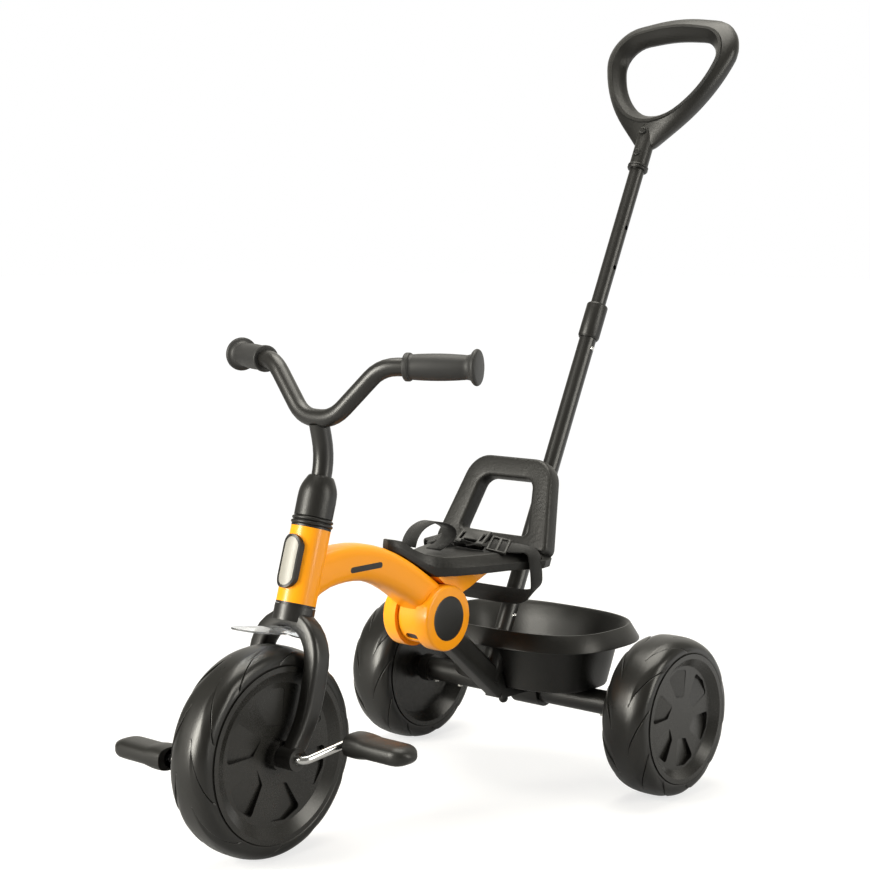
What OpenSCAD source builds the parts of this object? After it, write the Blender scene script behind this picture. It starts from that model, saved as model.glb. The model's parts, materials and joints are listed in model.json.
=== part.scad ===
// Folding toddler trike: pedals on the front wheel, hinged frame, seat, tray and telescopic push bar.
// Millimetres. +X is the rider's left, -Y is forward, +Z is up, and the ground is z = 0.

/* [Wheels] */
// Distance from the front axle to the rear axle
wheelbase = 492; // [470:1:530]
// Distance between the middles of the two rear tyres
rear_track = 420; // [400:1:450]
// Outer diameter of the front tyre
front_wheel_d = 240; // [220:1:248]
// Width of the front tyre
front_tyre_w = 58; // [50:1:60]
// Height of the front tyre above its rim
front_tyre_h = 20; // [16:1:26]
// Outer diameter of the rear tyres
rear_wheel_d = 200; // [190:1:210]
// Width of the rear tyres
rear_tyre_w = 65; // [56:1:68]
// Height of the rear tyres above their rims
rear_tyre_h = 19; // [15:1:24]
// Depth of the wedge pockets in the wheel discs at their deep side
pocket_depth = 6; // [3:0.5:7]

/* [Crank and pedals] */
// Diameter of the crank rod
crank_d = 10; // [8:0.5:12]
// Distance from the front axle to the middle of a pedal
crank_r = 66; // [55:1:72]
// Distance from the fork's bosses to the crank's arms
crank_out = 8.5; // [8.5:0.5:14]
// Sideways lean of each crank arm
crank_lean = 6; // [4:1:9]
// Turn of the crank at rest in degrees, with the left pedal up
crank_turn = 8; // [0:1:20]
// Length of a pedal
pedal_l = 88; // [80:1:94]
// Width of a pedal
pedal_w = 40; // [34:1:48]
// Thickness of a pedal
pedal_t = 23; // [18:1:26]

/* [Front frame] */
// Backward lean of the steering axis in degrees
head_angle = 16.8; // [12:0.1:20]
// Height of the head tube's lower end above the top of the front tyre, on the steering axis
head_above_tyre = 40; // [36:1:55]
// Diameter of the head tube
head_tube_d = 46; // [42:1:50]
// Length of the head tube
head_tube_l = 87; // [80:1:95]
// Width of the beam at its narrow end
beam_w = 39; // [34:1:44]
// Height of the beam
beam_h = 44; // [38:1:48]
// Rise of the beam above the straight line between its ends
beam_arch = 33; // [28:1:36]
// Distance of the fold hinge ahead of the rear axle
hinge_ahead = 213; // [205:1:222]
// Height of the fold hinge
hinge_h = 232; // [226:1:240]
// Diameter of the hinge ears
ear_d = 81; // [76:1:86]
// Width across the two hinge ears
ear_span = 73; // [66:1:80]
// Diameter of the barrel between the ears
barrel_d = 70; // [64:1:72]
// Width of the barrel between the ears
barrel_w = 31; // [28:1:34]

/* [Steering] */
// Distance of the front axle ahead of the steering axis
fork_offset = 5.5; // [3:0.5:9]
// Gap between the front tyre and each fork leg
fork_clear = 4.5; // [4:0.5:9]
// Diameter of the stem tube
stem_d = 24; // [21:0.5:26]
// Height of the collar above the head tube
collar_l = 58; // [50:1:64]
// Diameter of the handlebar tube
bar_d = 21; // [18:0.5:22]
// Width across the handlebar's ends
bar_w = 376; // [350:1:400]
// Rise of the handlebar from its middle to its bends
bar_rise = 63; // [50:1:75]
// Length of a grip
grip_l = 87; // [75:1:92]
// Diameter of a grip
grip_d = 30; // [27:1:33]

/* [Seat] */
// Height of the seat's underside above the hinge
seat_rise = 51; // [49:1:56]
// Width of the seat at its rear corners
seat_w = 184; // [170:1:195]
// Length of the seat from its horn to its rear edge
seat_l = 217; // [212:1:224]
// Thickness of the seat
seat_t = 24; // [20:1:28]
// Height of the backrest along its slope
back_h = 124; // [110:1:135]
// Width of the backrest at its foot
back_w = 186; // [165:1:190]
// Thickness of the backrest
back_t = 24; // [18:1:28]
// Backward lean of the backrest in degrees
back_angle = 24; // [18:1:28]
// Width of the harness webbing
webbing_w = 24; // [20:1:26]
// Thickness of the harness webbing
webbing_t = 2; // [1.5:0.1:2.5]

/* [Rear frame and tray] */
// Diameter of the rear axle housing
housing_d = 31; // [28:0.5:33]
// Diameter of the rear axle rod
axle_d = 10; // [8:0.5:12]
// Thickness of the rear leg seen from the side
leg_t = 31; // [26:1:34]
// Width of the rear leg
leg_w = 28; // [24:1:29]
// Width of the tray across its skirt
tray_w = 290; // [276:1:300]
// Length of the tray across its skirt
tray_l = 210; // [200:1:215]
// Height of the tray from its floor to its rim
tray_h = 82; // [74:1:88]
// Thickness of the tray's wall
tray_wall = 3; // [2.5:0.1:4]

/* [Push bar] */
// Backward lean of the push bar in degrees
push_angle = 26; // [23:0.5:29]
// Distance of the push bar's foot ahead of the rear axle
push_foot_ahead = 81; // [79:0.5:84]
// Height of the push bar's foot
push_foot_h = 150; // [148:0.5:153]
// Outer diameter of the lower push tube
lower_tube_d = 23; // [21:0.5:25]
// Wall thickness of the push tubes
tube_wall = 1.2; // [1:0.1:1.3]
// Distance along the push bar from its foot to the top of the telescope collar
collar_top_l = 505; // [470:1:530]
// Distance along the push bar from its foot to the handle's lower end
neck_l = 709; // [690:1:740]
// Distance along the push bar from its foot to the top of the handle
push_l = 949; // [930:1:980]
// Width of the loop handle
handle_w = 217; // [200:1:230]
// Thickness of the loop handle
handle_t = 28; // [24:1:32]
// Travel of the telescopic push bar
push_travel = 180; // [150:5:185]

/* [Fits] */
// Radial clearance of a turning or sliding fit
run_fit = 0.06; // [0.02:0.01:0.1]
// Clearance of a seated fit
seat_fit = 0.04; // [0.02:0.01:0.08]
// Gap between pieces that move past each other
move_gap = 0.5; // [0.4:0.05:0.8]

/* [Hidden] */
// Parts
// Part to draw, or all of them

// Colours
orange = [0.93, 0.34, 0.05];
black = [0.09, 0.09, 0.1];
grey = [0.3, 0.31, 0.32];
pale = [0.84, 0.85, 0.86];
steel = [0.75, 0.76, 0.78];

// Facets of round pieces
$fn = 72;
fine_fn = 96;
small_fn = 32;
// Length by which a cut runs past what it cuts
over = 2;

// Derived layout, with y measured from the rear axle before the whole is centred
front_r = front_wheel_d / 2;
rear_r = rear_wheel_d / 2;
front_rim_d = front_wheel_d - 2 * front_tyre_h;
rear_rim_d = rear_wheel_d - 2 * rear_tyre_h;
fork_gap = front_tyre_w + 2 * fork_clear;
head_bottom_h = front_wheel_d + head_above_tyre;
head_drop = head_bottom_h - front_r;
head_y = -wheelbase + fork_offset / cos(head_angle) + head_drop * tan(head_angle);
axle_drop = head_drop / cos(head_angle) + fork_offset * tan(head_angle);
hinge_y = -hinge_ahead;
ear_r = ear_d / 2;
barrel_r = barrel_d / 2;
seat_z = hinge_h + seat_rise;
push_y = -push_foot_ahead;

// The handle's rearmost point comes from its topmost section, a rounded box tilted with the push bar
handle_band = 37;
handle_power = 2.5;
handle_dual = handle_power / (handle_power - 1);
handle_back = pow(pow(handle_band / 2 * sin(push_angle), handle_dual)
    + pow(handle_t / 2 * cos(push_angle), handle_dual), 1 / handle_dual);
handle_reach = push_y + (push_l - handle_band / 2) * sin(push_angle) + handle_back;
rear_axle_y = (wheelbase + front_r - handle_reach) / 2;

// Shape helpers
function mix(a, b, share) = a + (b - a) * share;
function unit(v) = v / norm(v);
function signed_pow(value, power) = sign(value) * pow(abs(value), power);

// Point of a rounded box outline at a turn in degrees, before it is scaled to its half sizes
function soft_box(turn, power) = [signed_pow(cos(turn), 2 / power), signed_pow(sin(turn), 2 / power)];

// Points of one round corner at b between the neighbours a and c
function corner_arc(a, b, c, r, steps) =
    let (to_a = unit(a - b), to_c = unit(c - b), half = acos(to_a * to_c) / 2,
        centre = b + unit(to_a + to_c) * r / sin(half),
        from = b + to_a * r / tan(half) - centre,
        turn = sign(to_c[0] * to_a[1] - to_c[1] * to_a[0]) * (180 - 2 * half))
    [for (k = [0 : steps]) let (t = turn * k / steps)
        centre + [from[0] * cos(t) - from[1] * sin(t), from[0] * sin(t) + from[1] * cos(t)]];

// Outline through corner points, each corner rounded with its own radius
function rounded(points, radii, steps) =
    let (n = len(points))
    [for (i = [0 : n - 1]) each corner_arc(points[(i + n - 1) % n], points[i], points[(i + 1) % n],
        radii[i], steps)];

// Skin over rings of points, each ring anticlockwise as seen from the end that the rings run towards
module loft(rings) {
    n = len(rings[0]);
    last = len(rings) - 1;
    polyhedron(
        points = [for (ring = rings) each ring],
        faces = concat(
            [[for (j = [0 : n - 1]) j]],
            [[for (j = [0 : n - 1]) last * n + n - 1 - j]],
            [for (i = [0 : last - 1], j = [0 : n - 1])
                [i * n + j, (i + 1) * n + j, (i + 1) * n + (j + 1) % n]],
            [for (i = [0 : last - 1], j = [0 : n - 1])
                [i * n + j, (i + 1) * n + (j + 1) % n, i * n + (j + 1) % n]]));
}

// Skin over rings that close up into a loop
module loop_loft(rings) {
    n = len(rings[0]);
    m = len(rings);
    polyhedron(
        points = [for (ring = rings) each ring],
        faces = concat(
            [for (i = [0 : m - 1], j = [0 : n - 1])
                [i * n + j, (i + 1) % m * n + j, (i + 1) % m * n + (j + 1) % n]],
            [for (i = [0 : m - 1], j = [0 : n - 1])
                [i * n + j, (i + 1) % m * n + (j + 1) % n, i * n + (j + 1) % n]]));
}

// Band between an outer and an inner outline with the same number of points, rounded front and back
module padded_loop(outer, inner, thickness, power, around) {
    loop_loft([for (i = [0 : len(outer) - 1])
        let (middle = (outer[i] + inner[i]) / 2, half = (outer[i] - inner[i]) / 2)
        [for (j = [0 : around - 1]) let (s = soft_box(j * 360 / around, power))
            [middle[0] + half[0] * s[1], middle[1] + half[1] * s[1], s[0] * thickness / 2]]]);
}

// Outline drawn in (y, z) and given a width along X, centred on the middle plane
module side_plate(width) {
    translate([-width / 2, 0, 0])
        rotate([90, 0, 90])
            linear_extrude(width)
                children();
}

// Cylinder along X between two x values
module x_rod(x0, x1, y, z, d) {
    translate([x0, y, z])
        rotate([0, 90, 0])
            cylinder(d = d, h = x1 - x0);
}

// Slot outline with round ends, centred and lying along X
module slot_outline(length, width) {
    square([length - width, width], center = true);
    for (side = [-1, 1])
        translate([side * (length - width) / 2, 0])
            circle(d = width);
}

// Children placed at a point with their Z axis along a direction
module along(point, direction) {
    flat = norm([direction[0], direction[1]]);
    translate(point)
        rotate([0, atan2(flat, direction[2]), atan2(direction[1], direction[0])])
            children();
}

// Points and directions round one bend at b on the way from a to c
function bend_frames(a, b, c, r, steps) =
    let (ahead = unit(b - a), after = unit(c - b), turn = acos(ahead * after),
        inward = unit(after - ahead * (after * ahead)),
        centre = b - ahead * r * tan(turn / 2) + inward * r)
    [for (k = [0 : steps]) let (t = turn * k / steps)
        [centre + (ahead * sin(t) - inward * cos(t)) * r, ahead * cos(t) + inward * sin(t)]];

// Points and directions along straight runs that are joined by round bends
function path_frames(points, r, steps) =
    let (last = len(points) - 1)
    concat([[points[0], unit(points[1] - points[0])]],
        [for (i = [1 : last - 1]) each bend_frames(points[i - 1], points[i], points[i + 1], r, steps)],
        [[points[last], unit(points[last] - points[last - 1])]]);

// Ring of points square to a path, with side as a direction that the path never takes
function tube_ring(frame, side, d, around) =
    let (first = unit(cross(side, frame[1])), second = cross(frame[1], first))
    [for (j = [0 : around - 1]) let (t = j * 360 / around)
        frame[0] + (first * cos(t) + second * sin(t)) * d / 2];

// Tube skinned along a path
module swept_tube(frames, side, d, bore_d, around) {
    last = len(frames) - 1;
    loop_loft(concat(
        [for (frame = frames) tube_ring(frame, side, d, around)],
        [for (i = [last : -1 : 0]) tube_ring(frames[i], side, bore_d, around)]));
}

// Whole-part placing: the middle of the bounding box is at y = 0
module placed() {
    translate([0, rear_axle_y, 0])
        children();
}

// Steering frame: Z runs up the steering axis from the head tube's lower end
module on_steering() {
    translate([0, head_y, head_bottom_h])
        rotate([-head_angle, 0, 0])
            children();
}

// Push-bar frame: Z runs up the push bar from its foot
module on_push_bar() {
    translate([0, push_y, push_foot_h])
        rotate([-push_angle, 0, 0])
            children();
}

// Push-bar plane: Y runs up the push bar and Z points out of its front
module on_push_plane() {
    translate([0, push_y, push_foot_h])
        rotate([90 - push_angle, 0, 0])
            children();
}

// Point on the push bar's axis
function push_point(l) = [0, push_y + l * sin(push_angle), push_foot_h + l * cos(push_angle)];

// Beam: an arch from the steering axis to the hinge, with a section that flares towards the hinge
beam_head_share = 0.34;
beam_root = [head_y + head_tube_l * beam_head_share * sin(head_angle),
    head_bottom_h + head_tube_l * beam_head_share * cos(head_angle)];
beam_end_lift = 16;
beam_end = [hinge_y, hinge_h + beam_end_lift];
beam_power = 3.4;
beam_flare_share = 0.55;
beam_flare_from_share = 0.5;
beam_root_flare_share = 0.35;
beam_root_share = 0.16;
function beam_middle(share) = mix(beam_root, beam_end, share) + [0, beam_arch * sin(180 * share)];
function beam_run(share) = unit(beam_end - beam_root + [0, beam_arch * PI * cos(180 * share)]);
function beam_up(share) = [-beam_run(share)[1], beam_run(share)[0]];
function beam_half_h(share) = beam_h / 2
    * (1 + beam_root_flare_share * pow(max(0, 1 - share / beam_root_share), 2));
function beam_top(share, lift) = beam_middle(share) + beam_up(share) * (beam_half_h(share) + lift);
function beam_half_w(share) = beam_w / 2
    * (1 + beam_flare_share * pow(max(0, share - beam_flare_from_share) / (1 - beam_flare_from_share), 1.6));

module beam() {
    ring_count = 14;
    around = 32;
    loft([for (i = [0 : ring_count])
        let (share = i / ring_count, up = beam_up(share), c = beam_middle(share))
        [for (j = [0 : around - 1])
            let (s = soft_box(j * 360 / around, beam_power), drop = s[1] * beam_half_h(share))
            [s[0] * beam_half_w(share), c[0] - drop * up[0], c[1] - drop * up[1]]]]);
}

// Head tube and its bushes
head_bore_d = 26;
bush_d = 32;
bush_l = 20;
bush_flange_t = 2.4;
seal_d = 38;
seal_h = 1.4;
// Lamp on the head tube
lamp_l = 62;
lamp_w = 28;
lamp_edge = 3.2;
lamp_low_share = 0.52;
lamp_proud = 5;
lamp_insert_proud = 4.2;
lamp_seat_depth = 3;
// Beam inlays
inlay_l = 54;
inlay_h = 7;
inlay_t = 3;
inlay_share = 0.41;
inlay_drop = 5;
// Hinge
pin_d = 12;
cap_d = 55;
cap_t = 5;
cap_dome = 1.6;
ear_round = 3;

// Pill outline standing on the front of the head tube, as a block from the axis outwards
module lamp_block(length, width) {
    translate([0, 0, head_tube_l * lamp_low_share])
        rotate([90, 0, 0])
            linear_extrude(head_tube_d)
                rotate(90)
                    slot_outline(length, width);
}

// Sleeve around the steering axis with a wall between two radii
module head_sleeve(outer_r, inner_r) {
    difference() {
        cylinder(r = outer_r, h = head_tube_l);
        translate([0, 0, -over])
            cylinder(r = inner_r, h = head_tube_l + 2 * over);
    }
}

// Slot block through one side of the beam
module inlay_block(side, clearance) {
    c = beam_middle(inlay_share) - [0, inlay_drop];
    translate([side * (beam_w / 2 - inlay_t - clearance), c[0], c[1]])
        rotate([90, 0, 90 * side])
            linear_extrude(inlay_t + over)
                slot_outline(inlay_l + 2 * clearance, inlay_h + 2 * clearance);
}

module hinge_ear(side) {
    ear_w = (ear_span - barrel_w) / 2 - move_gap;
    translate([side * (ear_span / 2 - ear_w), hinge_y, hinge_h])
        rotate([0, 90 * side, 0])
            rotate_extrude($fn = fine_fn)
                polygon(concat([[0, 0], [ear_r, 0]],
                    corner_arc([ear_r, 0], [ear_r, ear_w], [0, ear_w], ear_round, 4), [[0, ear_w]]));
}

module main_frame() {
    color(orange) placed() difference() {
        union() {
            on_steering() cylinder(d = head_tube_d, h = head_tube_l, $fn = fine_fn);
            beam();
            for (side = [-1, 1]) hinge_ear(side);
        }
        on_steering() {
            translate([0, 0, -over]) cylinder(d = head_bore_d, h = head_tube_l + 2 * over);
            translate([0, 0, -over]) cylinder(d = bush_d + 2 * seat_fit, h = bush_l + over);
            translate([0, 0, head_tube_l - bush_l]) cylinder(d = bush_d + 2 * seat_fit, h = bush_l + over);
            difference() {
                lamp_block(lamp_l, lamp_w);
                cylinder(d = head_tube_d - 2 * lamp_seat_depth, h = head_tube_l);
            }
        }
        for (side = [-1, 1]) inlay_block(side, seat_fit);
        x_rod(-barrel_w / 2 - move_gap, barrel_w / 2 + move_gap, hinge_y, hinge_h, barrel_d + 2 * move_gap);
        x_rod(-ear_span, ear_span, hinge_y, hinge_h, pin_d + 2 * seat_fit);
        for (side = [0, 1]) mirror([side, 0, 0])
            x_rod(ear_span / 2 - cap_t, ear_span, hinge_y, hinge_h, cap_d + 2 * seat_fit);
    }
}

module head_bushes() {
    module bush() {
        difference() {
            union() {
                cylinder(d = bush_d, h = bush_l);
                translate([0, 0, -bush_flange_t]) cylinder(d = head_tube_d, h = bush_flange_t);
            }
            translate([0, 0, -over - bush_flange_t])
                cylinder(d = stem_d + 2 * run_fit, h = bush_l + bush_flange_t + 2 * over);
            translate([0, 0, -over - bush_flange_t]) cylinder(d = seal_d + 2 * move_gap, h = seal_h + over);
        }
    }
    color(black) placed() on_steering() {
        bush();
        translate([0, 0, head_tube_l]) mirror([0, 0, 1]) bush();
    }
}

module lamp_bezel() {
    color(black) placed() on_steering() intersection() {
        head_sleeve(head_tube_d / 2 + lamp_proud, head_tube_d / 2 - lamp_seat_depth + seat_fit);
        difference() {
            lamp_block(lamp_l - 2 * seat_fit, lamp_w - 2 * seat_fit);
            lamp_block(lamp_l - 2 * lamp_edge, lamp_w - 2 * lamp_edge);
        }
    }
}

module lamp_insert() {
    color(pale) placed() on_steering() intersection() {
        head_sleeve(head_tube_d / 2 + lamp_insert_proud, head_tube_d / 2 - lamp_seat_depth + seat_fit);
        lamp_block(lamp_l - 2 * lamp_edge - 2 * seat_fit, lamp_w - 2 * lamp_edge - 2 * seat_fit);
    }
}

module beam_inlays() {
    color(black) placed() for (side = [-1, 1]) intersection() {
        inlay_block(side, 0);
        beam();
    }
}

module hinge_pin() {
    reach = ear_span / 2 - cap_t - seat_fit;
    color(steel) placed() x_rod(-reach, reach, hinge_y, hinge_h, pin_d);
}

module hinge_caps() {
    steps = 6;
    color(black) placed() for (side = [-1, 1])
        translate([side * (ear_span / 2 - cap_t + seat_fit), hinge_y, hinge_h])
            rotate([0, 90 * side, 0])
                rotate_extrude($fn = fine_fn)
                    polygon(concat([[0, 0], [cap_d / 2, 0]], [for (k = [0 : steps]) let (t = 90 * k / steps)
                        [cap_d / 2 * cos(t), cap_t + cap_dome * sin(t)]]));
}

// Fork: a bar with rounded edges that runs up one leg, over the wheel and down the other
fork_leg_t = 22;
fork_leg_end_t = 18;
fork_top = 28;
fork_bow = 11;
fork_leg_top_w = 27;
fork_leg_end_w = 24;
fork_power = 4;
fork_boss_d = 26;
fork_boss_l = 22.5;
fork_bush_d = 16;
crown_d = 47;
crown_l = 18;
stem_depth = 17;
fork_arch_r = fork_gap / 2;
fork_boss_x = fork_arch_r + fork_boss_l;
fork_arch_z = -fork_top - fork_arch_r;
fork_start = bush_flange_t + move_gap;
function fork_bow_y(share) = fork_bow * sin(180 * pow(share, 1.7)) - fork_offset * pow(share, 3);

function fork_t(z) =
    mix(fork_leg_t, fork_leg_end_t, max(0, fork_arch_z - z) / (fork_arch_z + axle_drop));

// Section of the fork at a point of its path in (x, z), with the direction away from the wheel
function fork_ring(point, outward, around) =
    let (share = -point[1] / axle_drop, half_w = mix(fork_leg_top_w, fork_leg_end_w, share) / 2)
    [for (j = [0 : around - 1])
        let (s = soft_box(j * 360 / around, fork_power), reach = s[0] * fork_t(point[1]) / 2)
        [point[0] + outward[0] * reach, fork_bow_y(share) + s[1] * half_w, point[1] + outward[1] * reach]];

module fork_bar() {
    leg_steps = 7;
    arch_steps = 14;
    around = 24;
    arch_r = fork_arch_r + fork_leg_t / 2;
    leg = [for (k = [0 : leg_steps - 1])
        let (z = mix(-axle_drop, fork_arch_z, k / leg_steps)) [fork_arch_r + fork_t(z) / 2, z]];
    loft(concat(
        [for (p = leg) fork_ring(p, [1, 0], around)],
        [for (k = [0 : arch_steps]) let (t = 180 * k / arch_steps)
            fork_ring([arch_r * cos(t), fork_arch_z + arch_r * sin(t)], [cos(t), sin(t)], around)],
        [for (i = [leg_steps - 1 : -1 : 0]) fork_ring([-leg[i][0], leg[i][1]], [-1, 0], around)]));
}

module fork() {
    color(black) placed() on_steering() difference() {
        union() {
            fork_bar();
            translate([0, 0, -fork_start - crown_l]) {
                cylinder(d = crown_d, h = crown_l);
                cylinder(d = seal_d, h = crown_l + seal_h);
            }
            for (side = [0, 1]) mirror([side, 0, 0])
                x_rod(fork_arch_r, fork_boss_x, -fork_offset, -axle_drop, fork_boss_d);
        }
        translate([0, 0, -fork_start - stem_depth]) cylinder(d = stem_d + 2 * seat_fit, h = axle_drop);
        x_rod(-bar_w, bar_w, -fork_offset, -axle_drop, fork_bush_d + 2 * seat_fit);
        translate([0, 0, fork_arch_z]) rotate([90, 0, 0])
            cylinder(r = fork_arch_r, h = 2 * fork_leg_top_w, center = true, $fn = fine_fn);
        translate([0, guard_screw_y, fork_arch_z])
            cylinder(d = guard_screw_d + 2 * seat_fit, h = fork_arch_r + guard_screw_l);
    }
}

module fork_bushes() {
    color(grey) placed() on_steering() for (side = [0, 1]) mirror([side, 0, 0]) difference() {
        x_rod(fork_arch_r, fork_boss_x, -fork_offset, -axle_drop, fork_bush_d);
        x_rod(0, fork_boss_x + over, -fork_offset, -axle_drop, crank_d + 2 * run_fit);
    }
}

// Mudguard: a clear visor that lines the fork's arch, flattens forwards and ends in a round tongue
guard_t = 2;
guard_back = 14;
guard_arch_l = 18;
guard_front = 84;
guard_w = 44;
guard_front_w = 56;
guard_front_r = 200;
guard_tip_l = 36;
guard_tip_w = 8;
guard_fall = 12;
guard_screw_y = 2;
guard_screw_d = 4;
guard_screw_l = 6;
guard_head_d = 8;
guard_head_t = 2;
guard_head_gap = 0.5;

// Section of the visor at y: an arc of sheet between two radii about one centre, flatter towards the front
function guard_ring(y, points) =
    let (arch_r = fork_arch_r - seat_fit,
        ahead = max(0, -y - guard_arch_l) / (guard_front - guard_arch_l),
        tip = max(0, -y - guard_front + guard_tip_l) / guard_tip_l,
        r = mix(arch_r, guard_front_r, ahead),
        half_w = max(guard_tip_w, mix(guard_w, guard_front_w, ahead) * sqrt(1 - tip * tip)) / 2,
        centre_z = fork_arch_z + arch_r - r - guard_fall * ahead,
        half = asin(half_w / r))
    concat(
        [for (k = [0 : points]) let (t = mix(half, -half, k / points))
            [r * sin(t), y, centre_z + r * cos(t)]],
        [for (k = [0 : points]) let (t = mix(-half, half, k / points))
            [(r - guard_t) * sin(t), y, centre_z + (r - guard_t) * cos(t)]]);

module mudguard() {
    rows = 18;
    color(pale) placed() on_steering() difference() {
        loft([for (k = [0 : rows])
            guard_ring(guard_back - (guard_back + guard_front) * sin(90 * k / rows), 12)]);
        translate([0, guard_screw_y, fork_arch_z])
            cylinder(d = guard_screw_d + 2 * seat_fit, h = fork_arch_r + over, $fn = small_fn);
    }
}

module mudguard_screw() {
    head_z = -fork_top - guard_t - guard_head_t - guard_head_gap;
    color(steel) placed() on_steering() translate([0, guard_screw_y, head_z]) {
        cylinder(d = guard_head_d, h = guard_head_t - seat_fit, $fn = small_fn);
        cylinder(d = guard_screw_d, h = guard_head_t + guard_t + guard_screw_l, $fn = small_fn);
    }
}

// Stem, collar, handlebar and grips, all in the steering frame
stem_wall = 1.8;
stem_bend_z = 170;
stem_bend_r = 90;
stem_short = 5;
stem_straight_z = 140;
stem_inset = 0.2;
bar_fwd = 24;
bar_z = 211;
bar_root_x = 24;
bar_bend_x = 85;
bar_bend_fwd = 4;
bar_sweep = 41;
bar_end_rise = 14;
bar_bend_r = 45;
bar_wall = 1.6;
collar_ring_d = 49;
collar_ring_h = 9;
collar_d = 45;
collar_top_d = 29;
collar_taper_l = 18;
collar_bead_r = 1;
grip_end_d = 41;
grip_end_t = 7;
grip_flange_d = 32.5;
grip_flange_t = 8;
grip_waist = 0.5;
grip_wall = 3;
bar_bend_y = -bar_fwd - bar_bend_fwd;
bar_side = [[bar_root_x, -bar_fwd, bar_z], [bar_bend_x, bar_bend_y, bar_z + bar_rise],
    [bar_w / 2, bar_bend_y + bar_sweep, bar_z + bar_rise + bar_end_rise]];
bar_path = concat([for (i = [2 : -1 : 0]) [-bar_side[i][0], bar_side[i][1], bar_side[i][2]]], bar_side);
bar_end_run = unit(bar_side[2] - bar_side[1]);

module stem() {
    foot_z = -fork_start - stem_depth + seat_fit;
    bend = [0, 0, stem_bend_z];
    bar = [0, -bar_fwd, bar_z];
    top = bar - unit(bar - bend) * stem_short;
    splice = [0, 0, stem_straight_z - over];
    color(black) placed() on_steering() difference() {
        union() {
            difference() {
                translate([0, 0, foot_z]) cylinder(d = stem_d, h = stem_straight_z - foot_z);
                translate([0, 0, foot_z - over])
                    cylinder(d = stem_d - 2 * stem_wall, h = stem_straight_z - foot_z + 2 * over);
            }
            swept_tube(path_frames([splice, bend, top], stem_bend_r, 5), [1, 0, 0],
                stem_d - 2 * stem_inset, stem_d - 2 * stem_wall + 2 * stem_inset, 36);
        }
        x_rod(-stem_d, stem_d, -bar_fwd, bar_z, bar_d + 2 * seat_fit);
    }
}

module stem_collar() {
    foot = head_tube_l + bush_flange_t + move_gap;
    body_r = collar_d / 2;
    color(black) placed() on_steering() translate([0, 0, foot])
        rotate_extrude($fn = fine_fn)
            polygon(concat(
                [[stem_d / 2 + seat_fit, -seal_h], [seal_d / 2, -seal_h], [seal_d / 2, 0],
                    [collar_ring_d / 2, 0]],
                corner_arc([collar_ring_d / 2, 0], [collar_ring_d / 2, collar_ring_h],
                    [body_r, collar_ring_h], collar_bead_r, 3),
                [[body_r, collar_ring_h], [body_r, collar_l - collar_taper_l], [collar_top_d / 2, collar_l],
                    [stem_d / 2 + seat_fit, collar_l]]));
}

module handlebar() {
    color(black) placed() on_steering()
        swept_tube(path_frames(bar_path, bar_bend_r, 5), [0, 1, 0], bar_d, bar_d - 2 * bar_wall, 24);
}

// Grip with a small inner flange, a slightly waisted body and a round end stop
module grip() {
    body_r = grip_d / 2;
    bore_r = bar_d / 2 + seat_fit;
    body_l = grip_l - grip_flange_t - grip_end_t;
    body_steps = 8;
    rotate_extrude($fn = fine_fn)
        polygon(concat(
            [[bore_r, 0]],
            corner_arc([bore_r, 0], [grip_flange_d / 2, 0], [grip_flange_d / 2, grip_flange_t],
                grip_flange_t / 3, 3),
            [[grip_flange_d / 2, grip_flange_t]],
            [for (k = [0 : body_steps]) [body_r - grip_waist * sin(180 * k / body_steps),
                grip_flange_t + body_l * k / body_steps]],
            [for (k = [0 : body_steps]) let (t = 180 * k / body_steps)
                [(grip_end_d - grip_end_t + grip_end_t * sin(t)) / 2,
                    grip_l - grip_end_t * (1 + cos(t)) / 2]],
            [[0, grip_l], [0, grip_l - grip_wall], [bore_r, grip_l - grip_wall]]));
}

module placed_grip(side) {
    start = bar_side[2] - bar_end_run * (grip_l - grip_wall - seat_fit);
    color(black) placed() on_steering()
        along([side * start[0], start[1], start[2]], [side * bar_end_run[0], bar_end_run[1], bar_end_run[2]])
            grip();
}

module grip_left() {
    placed_grip(1);
}

module grip_right() {
    placed_grip(-1);
}

// Wheels: two half shells that hold the tyre between their lips
lip_proud = 1;
lip_t = 5;
lip_h = 8;
lip_w = 6;
rim_wall = 3;
disc_t = 9;
plain_disc_t = 4;
pocket_r = 4;
pocket_count = 6;
// Corners of a pocket: share of the disc radius and degrees
pocket_shares = [[0.4, -14], [0.93, -10], [0.96, 8], [0.93, 27], [0.46, 22]];
pocket_flush_angle = -14;
pocket_deep_corner = 3;
front_disc_depth = 7;
front_disc_in = 19;
rear_disc_depth = 9.5;
rear_disc_in = 16;
rear_inner_disc_x = 12;
front_disc_x = front_tyre_w / 2 + lip_proud - front_disc_depth;
front_disc_d = front_rim_d - 2 * front_disc_in;
rear_disc_x = rear_tyre_w / 2 + lip_proud - rear_disc_depth;
rear_disc_d = rear_rim_d - 2 * rear_disc_in;
front_hub_d = 34;
rear_hub_d = 30;
hub_gap = 0.3;
front_hub_l = fork_gap / 2 - hub_gap;
rear_hub_in = 22;
rear_hub_out = 3;
tyre_power = 2.6;
tyre_side_h = 3;

// Tyre as a ring about Z with a foot that sits between the rim's lips
module tyre(wheel_d, rim_d, width) {
    rim_r = rim_d / 2;
    foot_half = width / 2 + lip_proud - lip_t - seat_fit;
    side_r = rim_r + tyre_side_h;
    steps = 16;
    rotate_extrude($fn = fine_fn)
        polygon(concat(
            [[rim_r - lip_h + seat_fit, -foot_half], [rim_r + seat_fit, -foot_half],
                [rim_r + seat_fit, -width / 2]],
            [for (k = [0 : steps]) let (s = soft_box(180 - 180 * k / steps, tyre_power))
                [side_r + (wheel_d / 2 - side_r) * s[1], s[0] * width / 2]],
            [[rim_r + seat_fit, width / 2], [rim_r + seat_fit, foot_half],
                [rim_r - lip_h + seat_fit, foot_half]]));
}

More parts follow.
